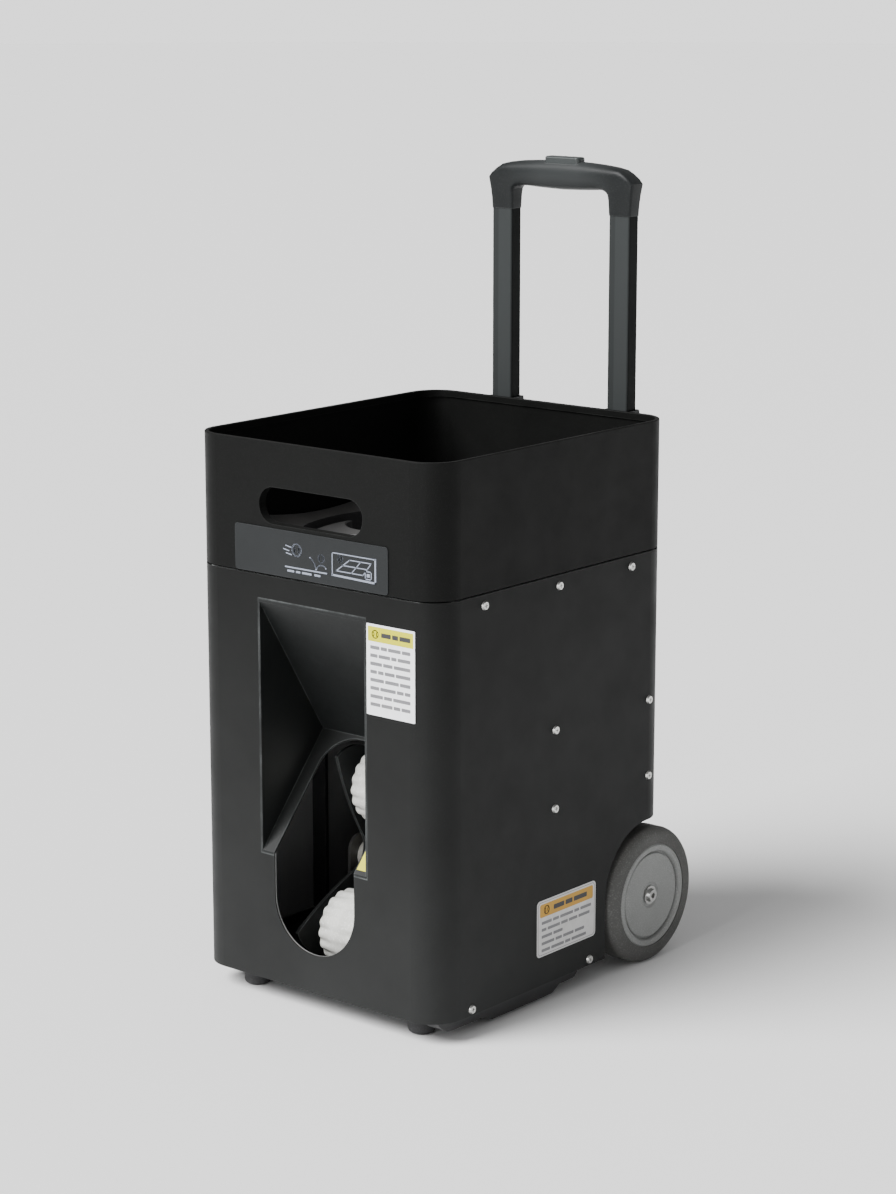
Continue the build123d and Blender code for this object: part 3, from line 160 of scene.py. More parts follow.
def finish_surface(tree, colour, roughness, bumps, metallic=0.0, specular=0.5):
    """Wire colour, roughness and a stack of bumps (height socket, distance, strength)."""
    shader = tree.nodes["Principled BSDF"]
    tree.links.new(colour, shader.inputs["Base Color"])
    tree.links.new(roughness, shader.inputs["Roughness"])
    shader.inputs["Metallic"].default_value = metallic
    shader.inputs["Specular IOR Level"].default_value = specular
    normal = None
    for height, distance, strength in bumps:
        bump = tree.nodes.new("ShaderNodeBump")
        bump.inputs["Distance"].default_value = distance
        bump.inputs["Strength"].default_value = strength
        tree.links.new(height, bump.inputs["Height"])
        if normal is not None:
            tree.links.new(normal, bump.inputs["Normal"])
        normal = bump.outputs["Normal"]
    if normal is not None:
        tree.links.new(normal, shader.inputs["Normal"])


def edge_mask(tree, radius):
    """White on convex and concave edges, from the difference of the rounded and true normals."""
    bevel = tree.nodes.new("ShaderNodeBevel")
    bevel.samples = 6
    bevel.inputs["Radius"].default_value = radius
    geometry = tree.nodes.new("ShaderNodeNewGeometry")
    dot = tree.nodes.new("ShaderNodeVectorMath")
    dot.operation = "DOT_PRODUCT"
    tree.links.new(bevel.outputs["Normal"], dot.inputs[0])
    tree.links.new(geometry.outputs["Normal"], dot.inputs[1])
    difference = math_node(tree, "SUBTRACT", 1.0, dot.outputs["Value"])
    return remap(tree, difference, EDGE_START, EDGE_FULL, 0.0, 1.0)


def tube_painted_light_mask(tree, coords):
    """White on the bands of painted light that run up the front face of each sliding tube, by distance across
    the tube.
    """
    x = separated(tree, coords)["X"]
    mask = None
    for side in (-1, 1):
        for low, high, weight in TUBE_LIGHT_BANDS:
            across = math_node(tree, "SUBTRACT", x, side * TUBE_CENTRE + (low + high) / 2)
            across = math_node(tree, "ABSOLUTE", across, 0.0)
            half = (high - low) / 2
            band = remap(tree, across, half + BAND_BLUR, half - BAND_BLUR, 0.0, weight)
            mask = band if mask is None else math_node(tree, "MAXIMUM", mask, band)
    return mask


def grip_painted_highlight_mask(tree, coords):
    """White on the middle of the handle grip, where a painted highlight lightens the bar."""
    across = math_node(tree, "ABSOLUTE", separated(tree, coords)["X"], 0.0)
    return remap(tree, across, HIGHLIGHT_GONE_FROM, HIGHLIGHT_FULL_TO, 0.0, 0.9)


def inner_skin_painted_light_mask(tree, coords):
    """White on the inner skin of the wrapped body sheet, black on its outer skin; the inner skin's pale
    colour is painted fill light for the dim interior.
    """
    low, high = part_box("main_shell")
    split = separated(tree, coords)
    across = math_node(tree, "ABSOLUTE", split["X"], 0.0)
    from_middle = math_node(tree, "SUBTRACT", split["Y"], (low[1] + high[1]) / 2)
    along = math_node(tree, "ABSOLUTE", from_middle, 0.0)
    half_x, half_y = high[0], (high[1] - low[1]) / 2
    mask = math_node(tree, "LESS_THAN", across, half_x - SKIN_DEPTH)
    mask = math_node(tree, "MULTIPLY", mask, math_node(tree, "LESS_THAN", along, half_y - SKIN_DEPTH))
    both = math_node(tree, "ADD", across, along)
    corner = math_node(tree, "LESS_THAN", both, half_x + half_y - CORNER_DEPTH)
    return math_node(tree, "MULTIPLY", mask, corner)


def textured(name, dark, light, rough=(0.45, 0.6), grain=1400.0, grain_depth=0.00008,
             grain_strength=0.35, mottling=9.0, specular=0.4, edge_wear_and_highlight=None, edge_band_radius=0.0012,
             metallic=0.0, dust=0.0, low_dust=0.0, zone=None):
    """Moulded or coated surface: fine grain bump, slow mottling, smudged gloss, lighter edges and dust. The
    lighter edges are wear, and on some finishes a painted edge highlight.

    zone is a mask function and the colour that it lays over part of the surface.
    """
    material, tree = node_tree(name)
    coords = tree.nodes.new("ShaderNodeTexCoord").outputs["Object"]
    slow = add_noise(tree, coords, mottling, 4.0, 0.6)
    fine = add_noise(tree, coords, grain, 2.0, 0.6)
    smudge = add_noise(tree, coords, mottling * 3.1, 5.0, 0.65)
    colour = mix_colour(tree, remap(tree, slow, 0.35, 0.65, 0.0, 1.0), dark, light)
    speck = remap(tree, fine, 0.52, 0.75, 0.0, 0.5)
    colour = mix_colour(tree, speck, colour, tuple(min(1.0, channel * 1.9 + 0.004) for channel in light))
    if dust:
        geometry = tree.nodes.new("ShaderNodeNewGeometry")
        upward = remap(tree, separated(tree, geometry.outputs["Normal"])["Z"], 0.3, 1.0, 0.0, dust)
        settled = math_node(tree, "MULTIPLY", upward, remap(tree, smudge, 0.3, 0.7, 0.3, 1.0))
        colour = mix_colour(tree, settled, colour, DUST)
    if zone:
        mask, tint = zone
        colour = mix_colour(tree, mask(tree, coords), colour, tint)
    if low_dust:
        height = separated(tree, coords)["Z"]
        film = remap(tree, height, ROAD_FILM_TOP, ROAD_FILM_FOOT, 0.0, low_dust)
        film = math_node(tree, "MULTIPLY", film, remap(tree, slow, 0.3, 0.7, 0.8, 1.1))
        colour = mix_colour(tree, film, colour, ROAD_FILM)
    if edge_wear_and_highlight:
        edges = edge_mask(tree, edge_band_radius)
        patchy = math_node(tree, "MULTIPLY", edges, remap(tree, smudge, 0.4, 0.65, 0.15, 0.85))
        colour = mix_colour(tree, patchy, colour, edge_wear_and_highlight)
    roughness = remap(tree, smudge, 0.3, 0.7, rough[0], rough[1])
    bumps = [(fine, grain_depth, grain_strength), (slow, 0.0004, 0.05)]
    finish_surface(tree, colour, roughness, bumps, metallic, specular)
    return material


def brushed(name, tint, rough=(0.25, 0.42), stretch=(1.0, 1.0, 60.0)):
    """Bare or plated metal with streaks, small stains and slightly uneven gloss."""
    material, tree = node_tree(name)
    coords = tree.nodes.new("ShaderNodeTexCoord").outputs["Object"]
    mapping = tree.nodes.new("ShaderNodeMapping")
    mapping.inputs["Scale"].default_value = stretch
    tree.links.new(coords, mapping.inputs["Vector"])
    streak = add_noise(tree, mapping.outputs["Vector"], 90.0, 3.0, 0.6)
    stain = add_noise(tree, coords, 160.0, 4.0, 0.7)
    shade = tuple(0.82 * channel for channel in tint)
    colour = mix_colour(tree, remap(tree, streak, 0.35, 0.65, 0.0, 1.0), shade, tint)
    colour = mix_colour(tree, remap(tree, stain, 0.62, 0.75, 0.0, 0.5), colour, METAL_STAIN)
    roughness = remap(tree, stain, 0.3, 0.7, rough[0], rough[1])
    finish_surface(tree, colour, roughness, [(streak, 0.00005, 0.3)], metallic=1.0)
    return material


def printed(name, paper, soiled, rough=(0.3, 0.42)):
    """Printed film: nearly even colour, faint fibre and handling marks, satin gloss."""
    material, tree = node_tree(name)
    coords = tree.nodes.new("ShaderNodeTexCoord").outputs["Object"]
    marks = add_noise(tree, coords, 60.0, 5.0, 0.7)
    fibre = add_noise(tree, coords, 1800.0, 2.0, 0.5)
    colour = mix_colour(tree, remap(tree, marks, 0.5, 0.75, 0.0, 0.55), paper, soiled)
    colour = mix_colour(tree, remap(tree, fibre, 0.4, 0.7, 0.0, 0.12), colour, soiled)
    roughness = remap(tree, marks, 0.3, 0.7, rough[0], rough[1])
    finish_surface(tree, colour, roughness, [(fibre, 0.00003, 0.2)], specular=0.45)
    return material


MATERIALS = {
    # body sheet: the pale colour laid on its inner skin is painted fill light that brightens the dim interior
    "body_sheet": textured("powder_coat", (0.0056, 0.0058, 0.0056), (0.0069, 0.0072, 0.0069),
                           rough=(0.42, 0.54), grain=1500.0, grain_depth=0.00012,
                           grain_strength=0.45, edge_wear_and_highlight=(0.05, 0.052, 0.051), specular=0.10,
                           low_dust=0.045, zone=(inner_skin_painted_light_mask, (0.30, 0.303, 0.303))),
    "hopper_plastic": textured("hopper_moulding", (0.0044, 0.0046, 0.0044), (0.0054, 0.0056, 0.0053),
                               rough=(0.42, 0.56), grain=1300.0, grain_depth=0.00012,
                               grain_strength=0.45, edge_wear_and_highlight=(0.045, 0.047, 0.045), specular=0.08),
    # funnel: the light colour on its edges is a painted highlight on the lit rim edges
    "funnel_plastic": textured("funnel_moulding", (0.0078, 0.0086, 0.0086), (0.0112, 0.0122, 0.0122),
                               rough=(0.40, 0.52), grain=1100.0, edge_wear_and_highlight=(0.12, 0.13, 0.13),
                               edge_band_radius=0.0022, specular=0.19, dust=0.03),
    "moulded_black": textured("moulded_black", (0.010, 0.0105, 0.011), (0.015, 0.0155, 0.016),
                              rough=(0.42, 0.58), grain=900.0, edge_wear_and_highlight=(0.05, 0.05, 0.052)),
    "plain_steel": textured("coated_steel", (0.03, 0.03, 0.032), (0.045, 0.045, 0.047),
                            rough=(0.4, 0.55), edge_wear_and_highlight=(0.2, 0.2, 0.2), dust=0.15),
    "zinc_steel": brushed("zinc_plating", (0.62, 0.62, 0.60), rough=(0.28, 0.45),
                          stretch=(1.0, 1.0, 1.0)),
    "bright_steel": brushed("bright_steel", (0.46, 0.46, 0.45), rough=(0.24, 0.40)),
    "foot_rubber": textured("foot_rubber", (0.030, 0.030, 0.031), (0.042, 0.042, 0.043),
                            rough=(0.7, 0.85), grain=700.0, specular=0.3, dust=0.2),
    "sticker_yellow": printed("yellow_film", (0.64, 0.60, 0.0), (0.56, 0.52, 0.0), rough=(0.45, 0.55)),
    "plate_film": textured("plate_film", (0.0125, 0.0138, 0.0145), (0.0160, 0.0175, 0.0185),
                           rough=(0.30, 0.42), grain=1800.0, grain_strength=0.25, specular=0.18,
                           edge_wear_and_highlight=(0.09, 0.095, 0.10), edge_band_radius=0.0008),
    "front_label_film": printed("white_film", (0.94, 0.95, 0.97), (0.78, 0.78, 0.79)),
    # side label: its white film is darker than the front label's, as painted shade for the label on the
    # shaded side
    "side_label_film": printed("shaded_white_film", (0.60, 0.595, 0.59), (0.45, 0.44, 0.43)),
    "dish_plastic": textured("dish_moulding", (0.022, 0.022, 0.023), (0.032, 0.032, 0.033),
                             rough=(0.42, 0.6), grain=900.0, edge_wear_and_highlight=(0.08, 0.08, 0.08), dust=0.16),
    "rotor_plastic": textured("rotor_moulding", (0.055, 0.056, 0.058), (0.075, 0.076, 0.078),
                              rough=(0.4, 0.55), grain=800.0, edge_wear_and_highlight=(0.16, 0.16, 0.16), dust=0.2),
    "motor_case": textured("motor_case", (0.07, 0.07, 0.072), (0.1, 0.1, 0.102),
                           rough=(0.32, 0.48), edge_wear_and_highlight=(0.3, 0.3, 0.3), metallic=0.6),
    "chute_plastic": textured("chute_moulding", (0.018, 0.018, 0.019), (0.026, 0.026, 0.027),
                              rough=(0.4, 0.55), grain=900.0, edge_wear_and_highlight=(0.06, 0.06, 0.06)),
    "battery_case": textured("battery_case", (0.02, 0.02, 0.022), (0.03, 0.03, 0.032),
                             rough=(0.4, 0.55), grain=600.0, dust=0.1),
    "circuit_board": textured("solder_resist", (0.008, 0.075, 0.028), (0.012, 0.095, 0.036),
                              rough=(0.25, 0.38), grain=900.0, specular=0.5),
    "nylon": textured("natural_nylon", (0.62, 0.60, 0.54), (0.72, 0.70, 0.64),
                      rough=(0.38, 0.52), grain=500.0, grain_strength=0.2),
    "tube_paint": textured("tube_paint", (0.016, 0.0165, 0.0165), (0.022, 0.0225, 0.0225),
                           rough=(0.36, 0.5), edge_wear_and_highlight=(0.12, 0.12, 0.12)),
    # sliding tubes: the lighter bands up the front face are painted light, a lit front flat against darker
    # shaded edges
    "slide_tube": textured("slide_tube", (0.0052, 0.0058, 0.0056), (0.0080, 0.0089, 0.0086),
                           rough=(0.36, 0.5), grain=1600.0, grain_strength=0.2, mottling=14.0,
                           edge_wear_and_highlight=(0.04, 0.042, 0.04), edge_band_radius=0.0007, specular=0.04,
                           zone=(tube_painted_light_mask, (0.043, 0.0465, 0.047))),
    "wheel_tyre": textured("wheel_tyre", (0.072, 0.072, 0.069), (0.098, 0.098, 0.094),
                           rough=(0.62, 0.8), grain=700.0, grain_depth=0.00015, specular=0.3,
                           dust=0.12),
    "wheel_plastic": textured("wheel_plastic", (0.200, 0.205, 0.200), (0.238, 0.244, 0.238),
                              rough=(0.4, 0.55), grain=1100.0, edge_wear_and_highlight=(0.28, 0.285, 0.28),
                              edge_band_radius=0.001),
    # cheek plates: the light colour on their edges is a painted highlight on the lit front edge
    "cheek_plate": textured("cheek_plate", (0.03, 0.032, 0.032), (0.042, 0.045, 0.045),
                            rough=(0.38, 0.5), edge_wear_and_highlight=(0.24, 0.25, 0.25), edge_band_radius=0.002),
    "launch_rubber": textured("launch_rubber", (0.54, 0.54, 0.505), (0.68, 0.68, 0.64),
                              rough=(0.55, 0.72), grain=500.0, grain_depth=0.0002,
                              mottling=26.0, specular=0.35),
    "hub_alloy": brushed("hub_alloy", (0.70, 0.70, 0.70), stretch=(1.0, 60.0, 1.0)),
    # handle grip: the lighter colour on the middle of the bar is a painted highlight
    "grip_plastic": textured("grip_moulding", (0.0118, 0.0130, 0.0133), (0.0158, 0.0172, 0.0176),
                             rough=(0.30, 0.42), grain=900.0, grain_depth=0.00010,
                             edge_wear_and_highlight=(0.11, 0.115, 0.115), edge_band_radius=0.0018, specular=0.12,
                             zone=(grip_painted_highlight_mask, (0.030, 0.0325, 0.033))),
    "button_plastic": textured("button_moulding", (0.022, 0.026, 0.026), (0.030, 0.035, 0.035),
                               rough=(0.35, 0.48), grain=1100.0, edge_wear_and_highlight=(0.2, 0.21, 0.21)),
    "rocker_plastic": textured("rocker_gloss", (0.012, 0.012, 0.012), (0.016, 0.016, 0.016),
                               rough=(0.15, 0.28), grain=400.0, grain_strength=0.1, specular=0.5),
}
INK = {
    "black": printed("ink_black", (0.030, 0.030, 0.032), (0.055, 0.055, 0.055), rough=(0.4, 0.52)),
    "grey": printed("ink_grey", (0.17, 0.17, 0.18), (0.24, 0.24, 0.24), rough=(0.4, 0.52)),
    "yellow": printed("ink_yellow", (0.60, 0.57, 0.0), (0.54, 0.51, 0.0), rough=(0.5, 0.62)),
    "orange": printed("ink_orange", (0.52, 0.285, 0.03), (0.44, 0.25, 0.04), rough=(0.4, 0.52)),
    "pale": printed("ink_pale", (0.25, 0.275, 0.34), (0.15, 0.165, 0.21), rough=(0.36, 0.48)),
}
# the rear panel has the body's finish, a shade lighter and without the painted light on the inner skin
REAR_PANEL = textured("rear_powder_coat", (0.0122, 0.0126, 0.0123), (0.0148, 0.0153, 0.0149),
                      rough=(0.42, 0.56), grain=1500.0, grain_depth=0.00012, grain_strength=0.5,
                      edge_wear_and_highlight=(0.07, 0.072, 0.071), specular=0.2, low_dust=0.06)
for entry in frame["record"]["subparts"]:
    finish = REAR_PANEL if entry["node"] == "rear_panel" else MATERIALS[entry["material_slot"]]
    material_slots = nodes[entry["node"]].material_slots
    if not material_slots:
        nodes[entry["node"]].data.materials.append(finish)
    for material_slot in material_slots:
        material_slot.material = finish


# ---- mesh helpers --------------------------------------------------------------------
def new_object(name, mesh_builder, slot_name, body, material=None, smooth=None):
    """Make an object from a bmesh, give it a material, by default the finish of the named slot, and the body
    that it rides on.
    """
    mesh = bpy.data.meshes.new(name)
    bmesh.ops.recalc_face_normals(mesh_builder, faces=mesh_builder.faces)
    mesh_builder.to_mesh(mesh)
    mesh_builder.free()
    piece = bpy.data.objects.new(name, mesh)
    bpy.context.scene.collection.objects.link(piece)
    mesh.materials.append(material or MATERIALS[slot_name])
    if smooth is not None:
        mesh.shade_smooth()
        mesh.set_sharp_from_angle(angle=math.radians(smooth))
    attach(piece, body)
    return piece


def on_face(origin, across, up, outward):
    """Matrix from a face's own right, up and outward directions to the frame."""
    columns = (Vector(across), Vector(up), Vector(outward))
    turn = Matrix([[column[row] for column in columns] for row in range(3)]).to_4x4()
    return Matrix.Translation(origin) @ turn


def prism(builder, outline, place, thickness):
    """Thin solid with a flat outline, from the face outwards."""
    low = [builder.verts.new(place @ Vector((u, v, 0.0))) for u, v in outline]
    high = [builder.verts.new(place @ Vector((u, v, thickness))) for u, v in outline]
    builder.faces.new(list(reversed(low)))
    builder.faces.new(high)
    count = len(outline)
    for index in range(count):
        other = (index + 1) % count
        builder.faces.new((low[index], low[other], high[other], high[index]))


def bar(builder, left, bottom, width, height, place, corner=0.0004):
    """Printed bar with clipped corners."""
    corner = min(corner, width * 0.4, height * 0.4)
    right, top = left + width, bottom + height
    outline = (
        (left + corner, bottom), (right - corner, bottom), (right, bottom + corner),
        (right, top - corner), (right - corner, top), (left + corner, top),
        (left, top - corner), (left, bottom + corner),
    )
    prism(builder, outline, place, INK_THICKNESS)


def stroke(builder, points, width, place):
    """Printed line along points, each straight part a thin prism a little longer than its span."""
    for (u0, v0), (u1, v1) in zip(points, points[1:]):
        length = math.hypot(u1 - u0, v1 - v0)
        du, dv = (u1 - u0) / length * width / 2, (v1 - v0) / length * width / 2
        outline = (
            (u0 - du + dv, v0 - dv - du), (u1 + du + dv, v1 + dv - du),
            (u1 + du - dv, v1 + dv + du), (u0 - du - dv, v0 - dv + du),
        )
        prism(builder, outline, place, INK_THICKNESS)


def arc_points(centre, radius, start, end, count):
    """Points along a circle arc, angles in degrees."""
    angles = [math.radians(start + (end - start) * step / count) for step in range(count + 1)]
    return [(centre[0] + radius * math.cos(angle), centre[1] + radius * math.sin(angle)) for angle in angles]


def ball_mark(builder, centre, radius, width, place):
    """Outline of a ball with its two seam curves."""
    stroke(builder, arc_points(centre, radius, 0, 360, 24), width, place)
    for side in (-1, 1):
        seam = (centre[0] + side * radius * 1.25, centre[1])
        turn = 180 if side > 0 else 0
        stroke(builder, arc_points(seam, radius * 0.85, turn - 48, turn + 48, 8), width, place)


# ---- printed labels and the display plate -----------------------------------------------
def word_rows(builder, rows, left, top, width, pitch, gap, tall, place):
    """Rows of plain bars. A row is its share of the width and its word lengths, scaled to fill that share."""
    for index, (share, words) in enumerate(rows):
        scale = (width * share - gap * (len(words) - 1)) / sum(words)
        start = left
        for word in words:
            bar(builder, start, top - pitch * index, word * scale, tall, place)
            start += word * scale + gap


def clipped_frame(width, height, inset, cut):
    """Closed line just inside a label's edge, with clipped corners."""
    near, far_u, far_v = inset + cut, width - inset, height - inset
    return [
        (near, inset), (far_u - cut, inset), (far_u, near), (far_u, far_v - cut), (far_u - cut, far_v),
        (near, far_v), (inset, far_v - cut), (inset, near), (near, inset),
    ]


def front_label_prints():
    """Yellow band with a ball mark and heading bars, and rows of plain bars below."""
    low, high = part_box("front_label")
    width, height = high[0] - low[0], high[2] - low[2]
    place = on_face(low, (1, 0, 0), (0, 0, 1), (0, -1, 0))
    above = place @ Matrix.Translation((0.0, 0.0, INK_THICKNESS))
    band = bmesh.new()
    bar(band, 0.0018, height - 0.0148, width - 0.0036, 0.0127, place)
    new_object("front_label_band", band, "front_label_film", "housing", INK["yellow"])
    marks = bmesh.new()
    ball_mark(marks, (0.0098, height - 0.0085), 0.0033, 0.0007, above)
    for left, span in ((0.0165, 0.0105), (0.0285, 0.0065), (0.0365, 0.0118)):
        bar(marks, left, height - 0.0104, span, 0.0038, above)
    new_object("front_label_marks", marks, "front_label_film", "housing", INK["black"])
    words = (
        (9, 6, 12, 8), (7, 11, 5, 12), (10, 8, 14), (6, 5, 9, 13),
        (12, 12, 9), (8, 14, 6, 5), (11, 7, 15), (9, 10, 6, 8),
    )
    rows = bmesh.new()
    word_rows(rows, [(1.0, row) for row in words], left=0.0042, top=height - 0.0214,
              width=width - 0.0092, pitch=0.0070, gap=0.0013, tall=0.0029, place=place)
    new_object("front_label_rows", rows, "front_label_film", "housing", INK["grey"])


def side_label_prints():
    """Orange band with a ball mark and heading bars, rows of plain bars and a thin edge line."""
    low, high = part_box("side_label")
    width, height = high[1] - low[1], high[2] - low[2]
    place = on_face((high[0], low[1], low[2]), (0, 1, 0), (0, 0, 1), (1, 0, 0))
    above = place @ Matrix.Translation((0.0, 0.0, INK_THICKNESS))
    band = bmesh.new()
    bar(band, 0.0040, height - 0.0155, width - 0.0080, 0.0120, place, corner=0.0012)
    new_object("side_label_band", band, "side_label_film", "housing", INK["orange"])
    marks = bmesh.new()
    ball_mark(marks, (0.0135, height - 0.0095), 0.0036, 0.0008, above)
    for left, span in ((0.0235, 0.0150), (0.0405, 0.0100), (0.0525, 0.0190)):
        bar(marks, left, height - 0.0117, span, 0.0043, above)
    new_object("side_label_marks", marks, "side_label_film", "housing", INK["black"])
    lines = (
        (1.0, (10, 6, 13, 5, 11)), (0.97, (5, 13, 7, 9, 12)), (0.42, (9, 8)),
        (0.86, (12, 6, 10, 9)), (0.9, (8, 12, 5, 14)),
    )
    rows = bmesh.new()
    word_rows(rows, lines, left=0.0065, top=height - 0.0222, width=width - 0.013,
              pitch=0.0063, gap=0.0018, tall=0.0027, place=place)
    stroke(rows, clipped_frame(width, height, inset=0.0016, cut=0.0022), 0.0005, place)
    new_object("side_label_rows", rows, "side_label_film", "housing", INK["grey"])


def plate_prints():
    """Pale line pictures on the display plate: a ball in flight and a framed court with the machine."""
    low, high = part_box("display_plate")
    place = on_face((0.0, low[1], (low[2] + high[2]) / 2), (1, 0, 0), (0, 0, 1), (0, -1, 0))
    lines = bmesh.new()
    # ball in flight with speed lines and a bounce path
    ball_mark(lines, (-0.0150, 0.0048), 0.0052, 0.0010, place)
    for start, drop in ((-0.0275, 0.0066), (-0.0300, 0.0034), (-0.0270, 0.0002)):
        stroke(lines, [(start, drop + 0.001), (start + 0.0060, drop)], 0.0009, place)
    stroke(lines, arc_points((-0.006, -0.011), 0.0130, 62, 8, 10), 0.0010, place)
    stroke(lines, arc_points((0.0135, -0.0108), 0.0062, 160, 40, 10), 0.0010, place)
    stroke(lines, [(-0.0280, -0.0108), (0.0190, -0.0108)], 0.0012, place)
    ball_mark(lines, (0.0130, 0.0010), 0.0034, 0.0008, place)
    for left, span in ((-0.0260, 0.0080), (-0.0160, 0.0050), (-0.0090, 0.0110), (0.0050, 0.0070)):
        bar(lines, left, -0.0149, span, 0.0018, place)
    # court seen at a slant in a frame, heavier along the bottom and right, with the machine as a small box
    border = [(0.0255, -0.0108), (0.0735, -0.0118), (0.0735, 0.0082), (0.0255, 0.0082), (0.0255, -0.0108)]
    stroke(lines, border[:3], 0.0017, place)
    stroke(lines, border[2:], 0.0009, place)
    court = [(0.0300, -0.0068), (0.0450, 0.0042), (0.0690, 0.0042), (0.0600, -0.0068), (0.0300, -0.0068)]
    stroke(lines, court, 0.0009, place)
    stroke(lines, [(0.0370, -0.0013), (0.0650, -0.0013)], 0.0009, place)
    stroke(lines, [(0.0575, 0.0042), (0.0470, -0.0068)], 0.0007, place)
    ball_mark(lines, (0.0345, 0.0036), 0.0026, 0.0007, place)
    box_mark = [(0.0625, -0.0095), (0.0625, -0.0030), (0.0690, -0.0030), (0.0690, -0.0095), (0.0625, -0.0095)]
    stroke(lines, box_mark, 0.0009, place)
    bar(lines, 0.0640, -0.0078, 0.0035, 0.0030, place)
    new_object("plate_pictures", lines, "plate_film", "housing", INK["pale"])


# ---- launch tyres --------------------------------------------------------------------------
def lobed_tyre(node, body):
    """Soft white roller: a crowned tread whose lobes are deep at both edges and faint in the middle."""
    low, high = (Vector(corner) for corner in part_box(node))
    centre = (low + high) / 2
    half, radius = (high.x - low.x) / 2, (high.z - low.z) / 2
    shoulder_width, shoulder_drop, edge_drop, crown, lobe_reach = 0.0052, 0.0065, 0.0010, 0.0008, 0.010
    section = [(-half, TYRE_BORE), (-half, radius - lobe_reach), (-half + 0.0004, radius - shoulder_drop)]
    for step in range(1, SHOULDER_STEPS + 1):
        angle = math.radians(90 * step / SHOULDER_STEPS)
        x = -half + shoulder_width * (1 - math.cos(angle))
        section.append((x, radius - shoulder_drop + (shoulder_drop - edge_drop) * math.sin(angle)))
    for step in range(1, TREAD_STEPS + 1):
        x = -half + shoulder_width + (half - shoulder_width) * step / TREAD_STEPS
        section.append((x, radius - edge_drop + crown * step / TREAD_STEPS))
    section += [(-x, r) for x, r in reversed(section[:-1])]
    builder = bmesh.new()
    turns = LOBES * LOBE_STEPS
    rings = []
    for step in range(turns):
        angle = 2 * math.pi * step / turns
        wave = (0.5 - 0.5 * math.cos(LOBES * angle)) ** 1.4
        ring = []
        for x, r in section:
            edge = min(1.0, abs(x) / (half - 0.004))
            share = max(0.0, (r - (radius - lobe_reach)) / lobe_reach)
            depth = LOBE_DEPTH * (0.16 + 0.84 * edge ** 2.2) * share
            local = r - depth * wave
            offset = Vector((x, local * math.cos(angle), local * math.sin(angle)))
            ring.append(builder.verts.new(centre + offset))
        rings.append(ring)
    for step in range(turns):
        here, after = rings[step], rings[(step + 1) % turns]
        for index in range(len(section) - 1):
            builder.faces.new((here[index], here[index + 1], after[index + 1], after[index]))
        builder.faces.new((here[-1], here[0], after[0], after[-1]))
    tyre = new_object(f"{node}_lobed", builder, "launch_rubber", body, smooth=40)
    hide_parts(node)


